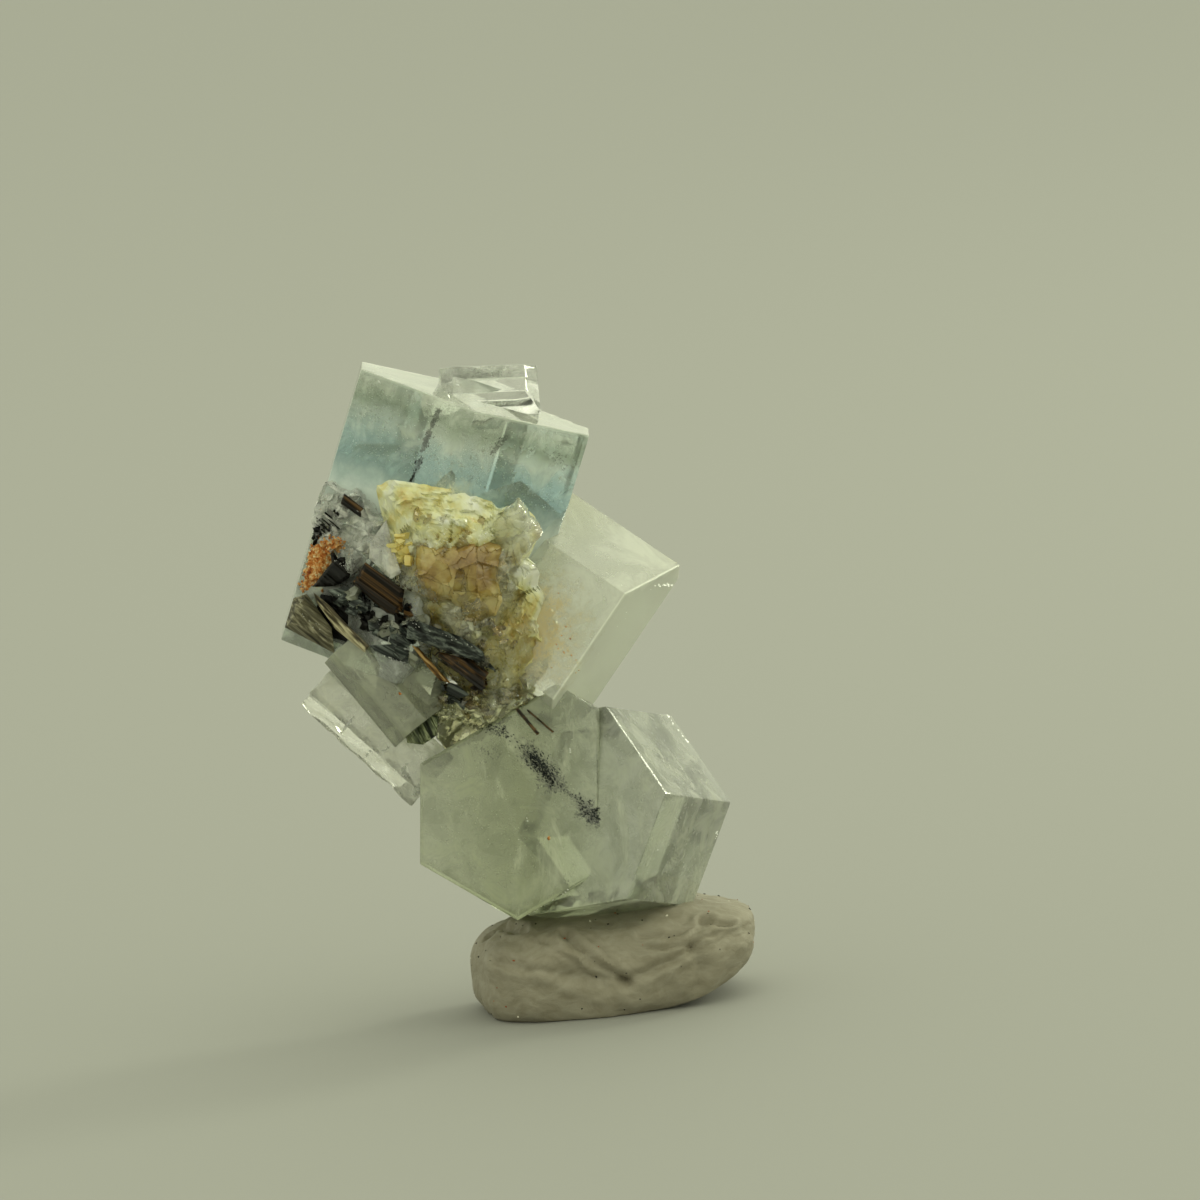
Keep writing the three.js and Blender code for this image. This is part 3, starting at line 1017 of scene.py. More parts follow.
class SPECIMEN_OT_stained_matrix(bpy.types.Operator):
    """Models the yellow fractured mass on the front, the blocky crystal and the splinters in it"""

    bl_idname = "specimen.stained_matrix"
    bl_label = "Stained matrix"

    def execute(self, context):
        rng = random.Random(11)
        stain = stained_quartz("iron_stained_quartz", [
            (0.34, "#FDFEF0"), (0.44, "#F9FAD2"), (0.54, "#F2EFA8"), (0.64, "#EEDC84"), (0.76, "#DCBC68"),
        ], "#D8B266", 0.9, 0.22, 0.16, 9, 17)
        outline = [
            (-6.0, 19.87), (-4.98, 19.95), (-3.65, 19.87), (-2.51, 19.53), (-1.37, 19.08), (-0.65, 19.4),
            (0.2, 18.2), (-0.2, 17.2), (0.1, 16.15), (0.72, 15.2), (0.91, 13.87), (0.46, 12.54), (-0.61, 11.78),
            (-1.75, 11.78), (-3.08, 12.54), (-4.03, 13.49), (-4.71, 14.44), (-4.98, 15.58), (-5.24, 16.72),
            (-5.62, 18.24),
        ]
        places = [
            (-6.0, 19.87, -3.6), (-4.98, 19.95, -4.3), (-3.65, 19.87, -4.7), (-2.51, 19.53, -4.5),
            (-1.37, 19.08, -4.0), (-0.65, 19.3, -3.4), (0.2, 18.2, -3.2), (-0.6, 17.8, -3.7),
            (-3.0, 18.2, -4.7), (-5.17, 17.1, -4.1),
            (-2.7, 15.58, -4.3), (-0.9, 16.3, -3.2), (-0.3, 15.6, -2.6), (0.72, 15.2, -1.8), (0.9, 14.06, -1.7),
            (0.2, 14.0, -2.5), (0.46, 12.54, -1.9), (-0.3, 13.2, -2.7), (-1.75, 12.16, -3.2), (-1.6, 14.0, -3.7),
            (-3.65, 13.3, -3.7), (-4.71, 14.44, -3.7),
        ]
        core = fractured("stained_matrix", outline, places, rng, 0.6, 0.24, 0.17)
        smooth(core, 18)
        finish(core, stain, "matrix", ["stained_matrix"])
        nearer = [(across, up, depth - 0.3) for across, up, depth in places]
        lower_part = [
            (-5.1, 17.6), (-3.6, 18.1), (-1.9, 18.0), (-0.6, 17.3), (-0.5, 16.1), (-0.1, 15.2), (0.1, 13.9),
            (-0.1, 12.8), (-0.8, 12.1), *outline[13:18],
        ]
        skin = fractured("matrix_glass", lower_part, nearer, rng, 0.75, 0.3, 0.4)
        smooth(skin, 15)
        seam_outline = [
            (-3.95, 11.9), (-3.08, 12.4), (-1.75, 12.3), (-0.23, 12.2), (0.34, 11.97), (-0.7, 11.4),
            (-1.7, 10.8), (-2.6, 10.1), (-3.4, 9.9), (-3.95, 10.8),
        ]
        seam_places = [
            (-3.5, 11.5, -3.2), (-1.8, 11.5, -3.3), (0.2, 12.0, -2.6), (-2.6, 10.4, -2.5), (-1.2, 11.2, -2.6),
        ]
        seam = fractured("matrix_seam", seam_outline, seam_places, rng, 0.7, 0.3)
        smooth(seam, 18)
        olive = stained_quartz("olive_quartz", [
            (0.34, "#EDEEDC"), (0.5, "#D8D8B6"), (0.65, "#B6B58C"),
        ], "#958A5C", 0.6, 0.8, 0.05)
        finish(seam, olive, "matrix", ["stained_matrix"])
        shapes = [shard(f"splinter_{i}", rng, 6, 0.5) for i in range(7)]
        glassy = stained_quartz("glassy_quartz", [
            (0.4, "#FFFCEC"), (0.6, "#FFF4CC"), (0.75, "#FAE4A4"),
        ], "#EBC476", 1.1, 0.97, 0.03)
        finish(skin, glassy, "matrix", ["stained_matrix"])
        ground = "stained_matrix matrix_glass matrix_seam"
        splinters = dotted("matrix_splinters", shapes, (
            (ground, (-4.6, 18.6), (-1.8, 18.3), 0.3, 5, (0.12, 0.3)),
            (ground, (-3.8, 17.0), (-1.4, 16.2), 0.4, 8, (0.12, 0.3)),
            (ground, (-2.4, 15.0), (-1.4, 13.8), 0.4, 22, (0.12, 0.3)),
            (ground, (-3.2, 11.6), (-1.2, 11.7), 0.25, 18, (0.12, 0.3)),
        ), rng)
        finish(splinters, glassy, "matrix", ["stained_matrix"])
        block = fractured("matrix_block", [
            (-4.45, 17.6), (-4.5, 16.9), (-4.4, 16.0), (-3.2, 15.6), (-1.5, 15.0), (-1.35, 16.2), (-1.4, 17.6),
            (-2.9, 17.75),
        ], [
            (-4.4, 17.5, -4.75), (-4.4, 16.1, -4.7), (-1.5, 15.1, -4.5), (-1.45, 17.5, -4.6), (-2.9, 16.5, -4.9),
        ], rng, 0.9, 0.4, 0.16)
        smooth(block, 15)
        tan = stained_quartz("tan_quartz", [
            (0.38, "#F6E49C"), (0.5, "#E6C878"), (0.64, "#C29C58"),
        ], "#A07C40", 0.6, 0.5, 0.06)
        finish(block, tan, "matrix", ["stained_matrix"])
        yellow = dotted("yellow_facet", shapes, (
            (ground, (-5.15, 18.0), (-5.05, 17.0), 0.14, 24, (0.14, 0.32)),
        ), rng)
        sulphur = stained_quartz(
            "yellow_quartz", [(0.4, "#FCEE9C"), (0.6, "#F2D660")], "#DCA840", 0.5, 0.25, 0.06
        )
        finish(yellow, sulphur, "matrix", ["stained_matrix"])
        facet = fractured("facet_crystal", [
            (-1.33, 18.81), (-0.98, 19.15), (-0.65, 19.46), (-0.2, 18.8), (0.27, 18.13), (-0.1, 17.7),
            (-0.46, 17.25), (-0.95, 16.7), (-1.41, 16.19), (-1.38, 17.5),
        ], [
            (-1.33, 18.81, -4.45), (-0.65, 19.46, -4.0), (0.27, 18.13, -3.65), (-0.46, 17.25, -4.1),
            (-1.41, 16.19, -4.7),
        ], rng, 1.1, 0.5, 0.12)
        smooth(facet, 15)
        cloudy = stained_quartz("cloudy_quartz", [
            (0.36, "#FAFBEE"), (0.55, "#F2F4DC"), (0.7, "#E8E2BA"),
        ], "#D8C48C", 0.8, 0.72, 0.05)
        finish(facet, cloudy, "matrix", ["stained_matrix"])
        return {"FINISHED"}


class SPECIMEN_OT_inclusions(bpy.types.Operator):
    """Models what is sealed inside the crystals: whitish veils, dark needles, trails and specks, and white
    flakes in and on the crystals whose white is partly painted highlight
    """

    bl_idname = "specimen.inclusions"
    bl_label = "Inclusions"

    def execute(self, context):
        rng = random.Random(41)
        plates = [flake("plate_6", 6, 0.08), flake("plate_4", 4, 0.08), flake("plate_5", 5, 0.1)]
        veils = strewn("beryl_veils", plates, (
            (BLUE, (-6.5, 23.6, -1.2), (0.6, 20.8, -0.9), 0.7, 1200, (0.01, 0.035)),
            (BLUE, (-5.6, 21.2, -2.0), (0.8, 19.6, -1.0), 0.6, 1200, (0.01, 0.035)),
            (BLUE, (-6.8, 20.5, -1.2), (-5.2, 23.8, -1.0), 0.5, 600, (0.01, 0.03)),
            (RIGHT_HAND, (0.6, 17.4, -1.6), (4.6, 16.4, -1.6), 0.7, 800, (0.01, 0.03)),
            (RIGHT_HAND, (0.4, 14.2, -1.4), (2.4, 14.0, -1.4), 0.6, 600, (0.01, 0.03)),
            (LOWER_FRONT, (-3.6, 8.6, -2.0), (1.6, 5.2, -2.0), 0.7, 500, (0.01, 0.03)),
            (LOWER_FRONT, (-2.2, 10.6, -2.0), (1.8, 8.4, -2.0), 0.7, 400, (0.01, 0.03)),
            (LOWER_RIGHT, (3.2, 10.6, -1.4), (6.0, 6.0, -0.6), 0.8, 1400, (0.01, 0.034)),
        ), rng, gap=0.05)
        milk = earthy("fluid_inclusions_and_painted_glints", [(0.3, "#F2F4EC"), (0.7, "#FFFFFF")], 0.5, 0.3, 0.0)
        finish(veils, milk, "beryl")
        # Larger white flakes inside the crystals: partly white inclusions, partly painted glints
        glints = strewn("beryl_glints", plates, (
            (BLUE, (-6.8, 23.4, -1.6), (0.6, 19.8, -1.4), 1.0, 60, (0.03, 0.09)),
            (BLUE, (-4.0, 21.2, -2.8), (1.0, 19.8, -1.2), 0.5, 50, (0.03, 0.1)),
            (RIGHT_HAND, (0.6, 15.2, -1.8), (4.0, 16.0, -2.0), 0.7, 40, (0.03, 0.08)),
            (LOWER_FRONT, (-3.0, 8.6, -2.6), (2.0, 5.0, -2.6), 0.9, 60, (0.03, 0.07)),
            (LOWER_RIGHT, (3.0, 9.6, -1.6), (6.6, 6.4, -0.8), 0.7, 40, (0.03, 0.08)),
        ), rng)
        finish(glints, milk, "beryl")
        # White flakes on the faces the viewer sees, turned to flash: partly real reflection of the small light,
        # partly painted highlight
        for name, count in (("blue_crystal", 36), ("right_crystal", 20), ("lower_crystals", 14)):
            ground = copied_back(name)
            sparkles = grains_on(ground, f"{name}_sparkles", plates, count, (0.008, 0.024), rng, flashing_turn)
            bpy.data.objects.remove(ground)
            finish(sparkles, milk, "beryl")
        splints = [flake("splint_4", 4, 4.0), flake("splint_3", 3, 3.0), flake("splint_5", 5, 1.5)]
        dark = strewn("beryl_dark_trails", splints, (
            (BLUE, (-3.46, 22.8, -2.6), (-3.78, 22.15, -2.7), 0.05, 170, (0.01, 0.03)),
            (BLUE, (-3.86, 22.0, -2.7), (-4.14, 21.28, -2.8), 0.055, 230, (0.01, 0.032)),
            (BLUE, (-4.26, 20.98, -3.15), (-4.71, 20.03, -3.2), 0.05, 300, (0.01, 0.032)),
            (BLUE, (-1.37, 21.9, -2.0), (-1.94, 21.28, -2.1), 0.06, 130, (0.008, 0.026)),
            (BLUE, (-2.62, 20.41, -2.5), (-2.89, 19.87, -2.6), 0.05, 40, (0.008, 0.016)),
            (BLUE, (-0.7, 21.4, -1.6), (1.4, 20.8, -1.0), 0.14, 260, (0.006, 0.018)),
            (LOWER_FRONT, (-1.9, 10.75, -2.84), (-1.15, 10.6, -2.86), 0.13, 700, (0.008, 0.026)),
            (LOWER_FRONT, (-1.2, 10.6, -2.84), (0.0, 9.6, -3.0), 0.1, 500, (0.008, 0.022)),
            (LOWER_FRONT, (-0.35, 9.95, -2.92), (0.75, 8.6, -3.12), 0.19, 5200, (0.008, 0.026)),
            (LOWER_FRONT, (-0.2, 9.7, -2.94), (0.6, 8.8, -3.1), 0.1, 1500, (0.01, 0.03)),
            (LOWER_FRONT, (0.75, 8.6, -3.12), (1.6, 8.0, -3.2), 0.07, 260, (0.008, 0.022)),
            (LOWER_FRONT, (1.6, 8.05, -3.2), (2.3, 7.2, -3.33), 0.14, 2200, (0.008, 0.026)),
            (LOWER_FRONT, (1.5, 7.4, -3.28), (2.5, 7.7, -3.28), 0.05, 260, (0.008, 0.022)),
            (LOWER_FRONT, (-2.4, 10.3, -2.8), (-1.6, 9.6, -2.8), 0.2, 160, (0.006, 0.018)),
            (LOWER_RIGHT, (6.1, 4.9, -0.8), (6.7, 4.95, -0.6), 0.1, 16, (0.02, 0.05)),
        ), rng, aligned=True, margin=-0.01)
        trail = schorl("schorl_inclusions", [(0.3, "#0B0E0E"), (0.7, "#2A302D")], 0.4, 45)
        finish(dark, trail, "schorl")
        return {"FINISHED"}


class SPECIMEN_OT_iron_oxide(bpy.types.Operator):
    """Models the grainy orange crust at the left edge"""

    bl_idname = "specimen.iron_oxide"
    bl_label = "Iron oxide crust"

    def execute(self, context):
        rng = random.Random(5)
        shapes = [shard(f"grain_{i}", rng, 6) for i in range(4)]
        rust = earthy("limonite", [
            (0.36, "#EEDFB8"), (0.45, "#DCAE6C"), (0.55, "#C2742A"), (0.66, "#8A4216"),
        ], 0.16, 0.8, 0.05)
        base = hewn("iron_oxide_crust", spot(-8.1, 17.0, -1.9), (0.5, 0.8, 0.4), 30, rng, 0.03)
        finish(base, rust, "iron_oxide", ["iron_oxide_crust"])
        ground = "iron_oxide_crust left_clear_chunk blue_crystal"
        grains = dotted("iron_grains", shapes, (
            (ground, (-8.35, 16.6), (-8.0, 17.5), 0.2, 620, (0.025, 0.085)),
            (ground, (-8.0, 17.65), (-7.4, 17.7), 0.12, 200, (0.02, 0.06)),
            (ground, (-8.75, 16.1), (-8.45, 16.6), 0.12, 160, (0.02, 0.06)),
        ), rng)
        finish(grains, rust, "iron_oxide", ["iron_oxide_crust"])
        return {"FINISHED"}


class SPECIMEN_OT_schorl(bpy.types.Operator):
    """Models the black tourmaline prisms, the splinters between them and the needles"""

    bl_idname = "specimen.schorl"
    bl_label = "Schorl"

    def execute(self, context):
        finishes = {
            name: schorl(f"schorl_{name}", stops, roughness, slope)
            for name, (stops, roughness, slope) in SCHORL_FINISHES.items()
        }
        for name, chip in (SCHORL | SPLINTERS).items():
            piece = slab(name, chip.outline, chip.depth, chip.thickness, 0.02, chip.lean, chip.chamfer)
            striate(piece, SCHORL_FINISHES[chip.finish][2], 0.12)
            smooth(piece, 12)
            finish(piece, finishes[chip.finish], "schorl", [name] if name in SCHORL else ())
        for seed, (name, rod) in enumerate(NEEDLES.items()):
            piece = self.needle(name, rod, random.Random(seed))
            smooth(piece, 30)
            finish(piece, finishes["brown"], "schorl", [name])
        self.fragments(finishes)
        self.steps(finishes["jet"], bpy.data.materials["water_clear_beryl"])
        return {"FINISHED"}

    def steps(self, dark, pale):
        """Dark and pale bars side by side on the clear chunk, like stairs."""
        rng = random.Random(8)
        along = Vector((cos(radians(40)), -sin(radians(40))))
        beside = Vector((-along.y, along.x))
        first = Vector((-7.35, 18.95))
        bars = {"dark": [], "pale": []}
        for number in range(13):
            middle = first - beside * (0.085 * number + rng.uniform(-0.05, 0.05))
            middle += along * rng.uniform(-0.25, 0.15)
            half = along * rng.uniform(0.12, 0.45)
            wide = beside * rng.uniform(0.015, 0.06)
            kind = "pale" if number in (0, 1, 3, 4, 6) else "dark"
            corners = [middle - half + wide, middle + half + wide, middle + half - wide, middle - half - wide]
            ground = seen_on(["left_clear_chunk", "blue_crystal", "iron_oxide_crust"], *middle)
            depth = ground.y - rng.uniform(0.08, 0.2)
            bars[kind].append(slab(f"{kind}_bar_{number}", [tuple(c) for c in corners], depth, 0.5, 0.01))
        for kind, material in (("dark", dark), ("pale", pale)):
            piece = gathered(f"schorl_steps_{kind}", bars[kind])
            finish(piece, material, "schorl" if kind == "dark" else "beryl")

    def fragments(self, finishes):
        """Splintered schorl between the prisms, and the dark mass that they stand in, which is partly schorl and
        partly painted shade filling the gaps between them.
        """
        rng = random.Random(21)
        # Black mass behind the chips: partly schorl, partly painted shade in the gaps between the prisms
        mass = hewn("schorl_mass", spot(-6.4, 15.3, -2.0), (1.7, 1.7, 0.9), 30, rng)
        finish(mass, finishes["jet"], "schorl")
        shapes = [shard(f"chip_{i}", rng, 6, 0.6) for i in range(6)]
        ground = (
            "schorl_mass slate_wedge slate_flake dark_square left_grey_crystal left_clear_chunk grey_glass_chunk"
            " blue_crystal stained_matrix matrix_glass matrix_seam"
        )
        zones = {
            "slate": (
                (ground, (-7.0, 15.7), (-6.2, 15.5), 0.25, 12, (0.14, 0.34)),
                (ground, (-5.6, 14.4), (-4.8, 14.2), 0.25, 11, (0.14, 0.34)),
                (ground, (-3.5, 12.0), (-2.9, 11.85), 0.18, 14, (0.08, 0.22)),
            ),
            "jet": (
                (ground, (-6.8, 15.0), (-6.0, 14.8), 0.2, 8, (0.12, 0.28)),
                (ground, (-5.3, 15.0), (-4.7, 14.8), 0.18, 8, (0.12, 0.28)),
                (ground, (-8.3, 18.2), (-8.15, 18.1), 0.1, 10, (0.08, 0.2)),
            ),
            "brown": (
                (ground, (-5.2, 15.2), (-4.8, 15.0), 0.15, 8, (0.1, 0.25)),
                (ground, (-2.6, 12.5), (-2.0, 12.3), 0.15, 8, (0.08, 0.2)),
            ),
        }
        for name, lines in zones.items():
            chips = dotted(f"schorl_chips_{name}", shapes, lines, rng)
            finish(chips, finishes[name], "schorl")
        glassy = dotted("glass_chips", shapes, (
            (ground, (-7.3, 15.8), (-6.5, 15.6), 0.22, 8, (0.12, 0.3)),
            (ground, (-6.0, 14.6), (-5.2, 14.4), 0.28, 9, (0.12, 0.32)),
            (ground, (-4.7, 15.0), (-4.1, 14.8), 0.22, 8, (0.12, 0.3)),
            (ground, (-4.9, 13.5), (-4.3, 13.3), 0.25, 6, (0.1, 0.28)),
        ), rng)
        finish(glassy, bpy.data.materials["grey_beryl"], "beryl")

    def needle(self, name, rod, rng):
        """Thin round prism with broken ends."""
        start, end = Vector(rod.start), Vector(rod.end)
        length = (end - start).length
        piece = begin(
            name, bpy.ops.mesh.primitive_cylinder_add,
            vertices=9, radius=rod.radius, depth=length * 1.2, end_fill_type="NGON",
        )
        for way in (1, -1):
            lean = Vector((rng.uniform(-0.5, 0.5), rng.uniform(-0.5, 0.5), way)).normalized()
            cut(Vector((0, 0, way * length / 2)), lean)
        settle(piece, turned((start + end) / 2, end - start, (0.3, -1, 0.2)))
        return piece


class SPECIMEN_OT_flashes(bpy.types.Operator):
    """Models the small white faces that flash in the light, partly a real reflection and partly a painted
    highlight, and the rusty specks on the crystals
    """

    bl_idname = "specimen.flashes"
    bl_label = "Flashes and specks"

    def execute(self, context):
        rng = random.Random(51)
        plates = [flake("flash_6", 6, 0.1), flake("flash_4", 4, 0.1)]
        # White flakes set along the lines where the crystals glint, turned to throw the small light at the
        # viewer: partly real reflection, partly painted highlight
        flashes = dotted("beryl_painted_flashes", plates, (
            ("left_pale_crystal", (-6.92, 11.15), (-7.43, 10.52), 0.012, 40, (0.03, 0.07)),
            ("left_pale_crystal", (-6.23, 9.98), (-6.49, 9.63), 0.02, 22, (0.03, 0.08)),
            ("left_pale_crystal", (-5.62, 9.98), (-5.8, 9.83), 0.02, 10, (0.03, 0.07)),
            ("left_pale_crystal", (-4.91, 9.37), (-5.06, 9.09), 0.02, 16, (0.03, 0.08)),
            ("left_pale_crystal", (-4.45, 8.56), (-4.7, 8.15), 0.04, 36, (0.03, 0.09)),
            ("left_pale_crystal", (-7.0, 10.3), (-4.6, 8.7), 0.16, 26, (0.012, 0.04)),
            ("lower_crystals", (1.29, 9.95), (1.33, 9.73), 0.01, 4, (0.02, 0.05)),
            ("lower_crystals", (-0.34, 7.33), (-0.3, 7.22), 0.01, 3, (0.02, 0.04)),
            ("lower_crystals", (4.9, 11.3), (5.85, 10.07), 0.02, 20, (0.02, 0.06)),
            ("lower_crystals", (6.92, 6.84), (6.84, 6.38), 0.02, 8, (0.02, 0.05)),
            ("lower_crystals", (-0.5, 3.5), (1.29, 4.64), 0.02, 22, (0.015, 0.04)),
            ("blue_crystal", (-5.95, 23.85), (-5.9, 23.8), 0.03, 4, (0.02, 0.06)),
            ("blue_crystal", (-4.22, 23.03), (-3.84, 22.92), 0.02, 6, (0.02, 0.05)),
            ("right_crystal", (4.52, 16.15), (5.28, 16.19), 0.03, 24, (0.03, 0.07)),
            ("cap_crystal", (-2.98, 23.75), (-2.94, 23.7), 0.02, 3, (0.02, 0.05)),
            ("cap_crystal", (0.19, 22.8), (0.36, 22.7), 0.03, 8, (0.02, 0.06)),
            ("stained_matrix", (-4.2, 17.9), (-1.4, 17.5), 0.3, 40, (0.012, 0.045)),
            ("stained_matrix", (-4.4, 16.0), (-1.4, 15.2), 0.4, 40, (0.012, 0.05)),
            ("stained_matrix", (-2.0, 14.6), (0.3, 13.4), 0.4, 30, (0.012, 0.04)),
            ("matrix_seam", (-3.4, 11.6), (-0.4, 11.8), 0.2, 30, (0.012, 0.04)),
        ), rng, flashing_turn)
        finish(flashes, bpy.data.materials["fluid_inclusions_and_painted_glints"], "beryl")
        # White flakes on the schorl's edges: painted highlights where they glint, also turned to catch the small
        # light
        glints = dotted("schorl_flashes", plates, (
            ("schorl_shard", (-5.97, 13.57), (-4.9, 13.2), 0.02, 26, (0.015, 0.04)),
            ("schorl_beak", (-4.7, 14.7), (-2.1, 13.75), 0.04, 16, (0.012, 0.035)),
            ("slate_flake", (-5.9, 14.8), (-5.2, 14.7), 0.06, 14, (0.012, 0.04)),
            ("slate_wedge", (-7.6, 15.9), (-6.4, 15.3), 0.15, 24, (0.012, 0.04)),
            ("schorl_knob", (-7.5, 17.1), (-7.0, 16.7), 0.06, 10, (0.012, 0.03)),
            ("schorl_left_prism", (-9.1, 15.2), (-8.0, 14.3), 0.15, 10, (0.01, 0.03)),
        ), rng, flashing_turn)
        finish(glints, bpy.data.materials["fluid_inclusions_and_painted_glints"], "schorl")
        grains = [shard(f"rust_{i}", rng, 6) for i in range(3)]
        rusty = dotted("rusty_specks", grains, (
            ("matrix_glass", (-5.13, 17.06), (-5.12, 17.0), 0.015, 5, (0.03, 0.06)),
            ("matrix_glass", (-0.04, 12.84), (0.02, 12.8), 0.03, 7, (0.03, 0.06)),
            ("lower_crystals", (0.49, 6.6), (0.5, 6.52), 0.012, 6, (0.03, 0.055)),
            ("left_grey_crystal", (-5.14, 12.05), (-5.1, 12.0), 0.02, 3, (0.02, 0.045)),
            ("matrix_seam", (-3.78, 10.98), (-3.72, 10.9), 0.02, 4, (0.02, 0.05)),
            ("right_crystal", (0.6, 15.6), (1.2, 13.2), 0.35, 26, (0.01, 0.035)),
        ), rng)
        finish(rusty, bpy.data.materials["limonite"], "iron_oxide")
        return {"FINISHED"}


class Crease(NamedTuple):
    """Fold pressed into the putty: a line across and up the picture, its depth and its width."""

    line: tuple
    depth: float
    width: float


CREASES = (
    Crease(((-2.2, 2.6), (-1.37, 3.1), (-0.4, 3.0)), 0.22, 0.12),
    Crease(((1.1, 2.9), (1.9, 2.15), (2.8, 1.5), (3.5, 1.05)), 0.2, 0.13),
    Crease(((0.9, 1.5), (2.2, 1.25), (3.4, 1.0)), 0.22, 0.3),
    Crease(((3.3, 1.1), (4.6, 1.6), (5.85, 2.2), (6.4, 3.2)), 0.16, 0.16),
    Crease(((5.9, 2.3), (6.4, 1.4), (6.2, 0.6)), 0.16, 0.2),
    Crease(((-1.6, 1.9), (-0.4, 1.6), (0.5, 1.5)), 0.12, 0.16),
    Crease(((0.25, 2.7), (1.3, 1.9), (2.5, 1.05)), 0.09, 0.08),
    Crease(((0.7, 2.6), (1.7, 1.95), (2.6, 1.15)), 0.08, 0.07),
    Crease(((1.15, 2.5), (1.95, 1.9), (2.8, 1.2)), 0.08, 0.07),
    Crease(((2.05, 2.8), (2.8, 2.0), (3.4, 1.3)), 0.08, 0.07),
    Crease(((3.9, 2.9), (5.0, 2.75), (6.1, 3.05)), 0.1, 0.09),
    Crease(((4.2, 2.4), (5.3, 2.3), (6.9, 2.6)), 0.08, 0.08),
    Crease(((6.3, 3.2), (6.9, 3.0), (7.5, 2.9)), 0.14, 0.1),
)


class SPECIMEN_OT_putty(bpy.types.Operator):
    """Models the putty lump, pressed flat underneath and folded on its front, with what is kneaded into it"""

    bl_idname = "specimen.putty"
    bl_label = "Putty"

    def execute(self, context):
        settings = context.scene.specimen.putty
        noise.seed_set(3)
        piece = begin(
            "putty_base", bpy.ops.mesh.primitive_uv_sphere_add, segments=300, ring_count=150, radius=1
        )
        deselect()
        turn = Matrix.Rotation(PUTTY_TURN, 3, "Z")
        for vertex in piece.data.vertices:
            vertex.co = self.kneaded(vertex.co, turn)
        grown = copied_back("lower_crystals")
        apply_modifier(piece, "BOOLEAN", object=grown, operation="DIFFERENCE", solver="EXACT")
        bpy.data.objects.remove(grown)
        smooth(piece, 50)
        self.specks(piece, settings.specks)
        finish(piece, putty("mineral_putty", settings.body), "putty", ["putty_base"])
        return {"FINISHED"}

    def kneaded(self, point, turn):
        """Where a point of a ball lands once it is squeezed, pressed flat, turned, folded and dented."""
        sum_of_powers = sum(abs(side) ** PUTTY_SQUARENESS for side in point)
        ball = point / sum_of_powers ** (1 / PUTTY_SQUARENESS)
        wide, deep, tall = PUTTY_HALF
        lump = Vector((ball.x * wide, ball.y * deep, ball.z * tall + PUTTY_RISE * ball.x * (1 + ball.z) / 2))
        lump = turn @ lump + PUTTY_AT
        outward = Vector((ball.x / wide, ball.y / deep, ball.z / tall)).normalized()
        lump += 0.2 * noise.noise_vector(lump * 0.45) + 0.08 * noise.noise_vector(lump * 1.3)
        lump += outward * (0.02 * noise.noise(lump * 4) + 0.012 * noise.noise(lump * 9))
        if outward.dot(TOWARD) > 0:
            lump -= outward * self.fold(lump)
        lump.z = max(lump.z, 0)
        curl = min(1, max(0, (lump.x - CURL_START) / CURL_LENGTH))
        lump.z += CURL_LIFT * curl * curl * max(0, 1 - lump.z / CURL_TOP)
        return lump

    def fold(self, place):
        """How deep the folds are at a place, less where the putty swells beside them."""
        seen = Vector((place.dot(RIGHT), place.dot(UP)))
        seen += 0.12 * noise.noise_vector(place * 1.6).to_2d()
        deep = 0
        for crease in CREASES:
            away = min(self.gap(seen, a, b) for a, b in zip(crease.line, crease.line[1:]))
            near = away / crease.width
            dent = BELL ** (-near * near)
            swelling = BELL ** (-((near - 2.2) / 1.3) ** 2)
            deep += crease.depth * (dent - 0.45 * swelling)
        return deep

    def gap(self, seen, start, end):
        """How far a seen place lies from one stretch of a crease."""
        first, last = Vector(start), Vector(end)
        share = (seen - first).dot(last - first) / (last - first).length_squared
        return (seen - first.lerp(last, min(1, max(0, share)))).length

    def specks(self, piece, count):
        """Grains of dark, rusty and pale mineral kneaded into the putty."""
        rng = random.Random(17)
        shapes = [shard(f"speck_{i}", rng, 8, 0.7) for i in range(4)]
        faces = [face for face in piece.data.polygons if face.normal.dot(TOWARD) > -0.3 and face.center.z > 0.1]
        faces.sort(key=lambda face: tuple(face.center))
        for name, share, stops in (
            ("putty_dark_specks", 0.6, [(0.3, "#15130F"), (0.7, "#3A3328")]),
            ("putty_rusty_specks", 0.25, [(0.3, "#7A2C14"), (0.7, "#B8622A")]),
            ("putty_pale_specks", 0.15, [(0.3, "#D8D2C0"), (0.7, "#EFEBDD")]),
        ):
            parts = []
            for _ in range(int(count * share)):
                face = rng.choice(faces)
                size = Matrix.Scale(rng.uniform(0.02, 0.055), 4)
                parts.append((rng.choice(shapes), Matrix.Translation(face.center) @ random_turn(rng) @ size))
            grains = joined_mesh(name, parts)
            finish(grains, earthy(name + "_mineral", stops, 0.1, 0.6, 0.0), "putty")


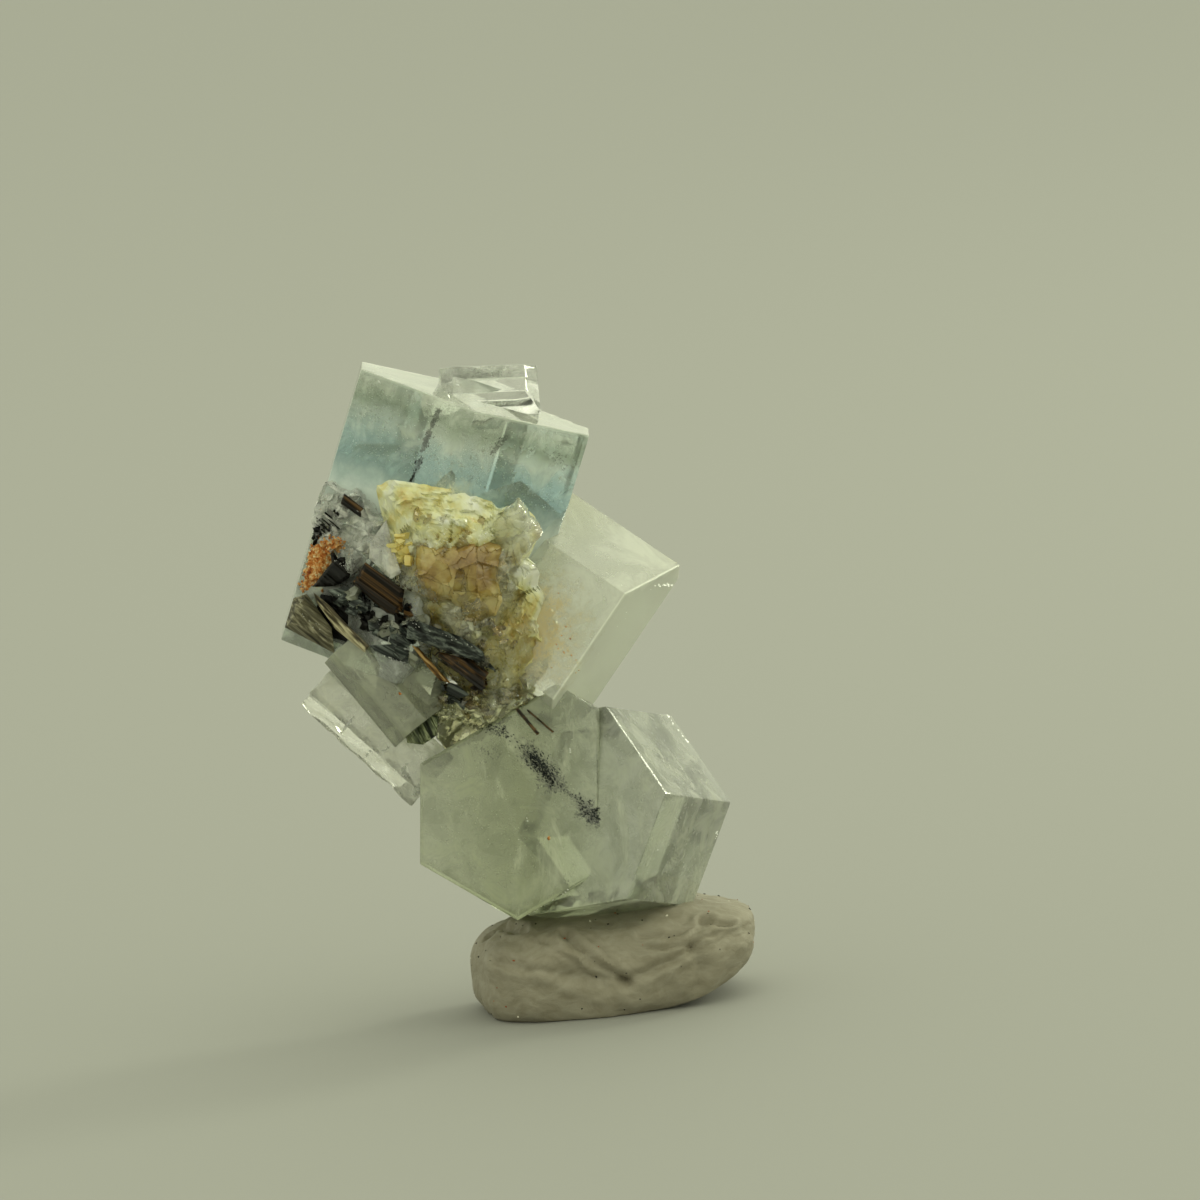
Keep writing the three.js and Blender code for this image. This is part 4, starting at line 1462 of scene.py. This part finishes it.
class SPECIMEN_OT_stage(bpy.types.Operator):
    """Lays the plain floor, hangs the soft lights and sets up the camera at the photograph's angle"""

    bl_idname = "specimen.stage"
    bl_label = "Stage"

    def execute(self, context):
        settings = context.scene.specimen.stage
        deselect()
        bpy.ops.mesh.primitive_circle_add(vertices=96, radius=3, fill_type="NGON", location=(0, 0, -2e-5))
        floor = context.object
        floor.name = "floor"
        material, tree, output = new_material("matt_paper")
        shader = add(
            tree, "ShaderNodeBsdfPrincipled", {"Base Color": (*settings.floor, 1), "Roughness": 0.8}
        )
        tree.links.new(shader.outputs["BSDF"], output.inputs["Surface"])
        floor.data.materials.append(material)
        world = bpy.data.worlds.new("soft_room")
        world.use_nodes = True
        room = world.node_tree
        room.nodes.clear()
        way = add(room, "ShaderNodeTexCoord").outputs["Generated"]
        ways = separate(room, way)
        depth = spread(room, ways["Y"], -1.0, 1.0, 0.74, 0.8)
        walls = combine(room, "MULTIPLY_ADD", ways["X"], 0.12, depth)
        facing = add(room, "ShaderNodeVectorMath", {0: way, 1: OVERHEAD}, operation="DOT_PRODUCT")
        panel = spread(
            room, facing.outputs["Value"], 0.75, 0.97, 0.0, settings.key, interpolation_type="SMOOTHSTEP"
        )
        glow = combine(room, "MULTIPLY_ADD", walls, settings.world, panel)
        light = add(room, "ShaderNodeBackground", {"Color": (*settings.light, 1), "Strength": glow})
        end = add(room, "ShaderNodeOutputWorld")
        room.links.new(light.outputs["Background"], end.inputs["Surface"])
        context.scene.world = world
        self.soft_box("glint_light", SMALL_LIGHT, 0.07, settings.glint, settings.light)
        self.camera(context)
        context.scene.view_settings.view_transform = "Standard"
        context.scene.cycles.max_bounces = 24
        context.scene.cycles.transmission_bounces = 24
        return {"FINISHED"}

    def soft_box(self, name, place, size, power, tint):
        """Square soft light that looks at the specimen."""
        middle = Vector((0, 0, 0.012))
        bpy.ops.object.light_add(type="AREA", location=place)
        light = bpy.context.object
        light.name = name
        light.data.size = size
        light.data.energy = power
        light.data.color = tint
        light.rotation_euler = (middle - Vector(place)).to_track_quat("-Z", "Y").to_euler()

    def camera(self, context):
        """Camera at the photograph's angle."""
        eye = (AIM + SPECIMEN + TOWARD * DISTANCE) * MM
        view = Matrix((RIGHT, UP, TOWARD)).transposed().to_4x4()
        bpy.ops.object.camera_add()
        camera = context.object
        camera.matrix_world = Matrix.Translation(eye) @ view
        camera.data.lens = LENS
        camera.data.sensor_width = SENSOR
        camera.data.clip_start = 0.01
        camera.data.clip_end = 50
        context.scene.camera = camera


OPERATORS = (
    SPECIMEN_OT_blue_crystal,
    SPECIMEN_OT_right_crystal,
    SPECIMEN_OT_lower_crystals,
    SPECIMEN_OT_left_crystals,
    SPECIMEN_OT_inclusions,
    SPECIMEN_OT_stained_matrix,
    SPECIMEN_OT_iron_oxide,
    SPECIMEN_OT_schorl,
    SPECIMEN_OT_flashes,
    SPECIMEN_OT_putty,
    SPECIMEN_OT_stage,
)


class SPECIMEN_PT_panel(bpy.types.Panel):
    """Lists the specimen's pieces"""

    bl_idname = "SPECIMEN_PT_panel"
    bl_label = "Aquamarine specimen"
    bl_space_type = "VIEW_3D"
    bl_region_type = "UI"
    bl_category = "Specimen"

    def draw(self, context):
        for operator in OPERATORS:
            self.layout.operator(operator.bl_idname)


CLASSES = (CrystalSettings, PuttySettings, StageSettings, SpecimenSettings, *OPERATORS, SPECIMEN_PT_panel)


def register():
    for kind in CLASSES:
        bpy.utils.register_class(kind)
    bpy.types.Scene.specimen = PointerProperty(type=SpecimenSettings)


def unregister():
    del bpy.types.Scene.specimen
    for kind in reversed(CLASSES):
        bpy.utils.unregister_class(kind)


def main():
    register()
    for operator in OPERATORS:
        group, name = operator.bl_idname.split(".")
        getattr(getattr(bpy.ops, group), name)()
    deselect()


if __name__ == "__main__":
    main()
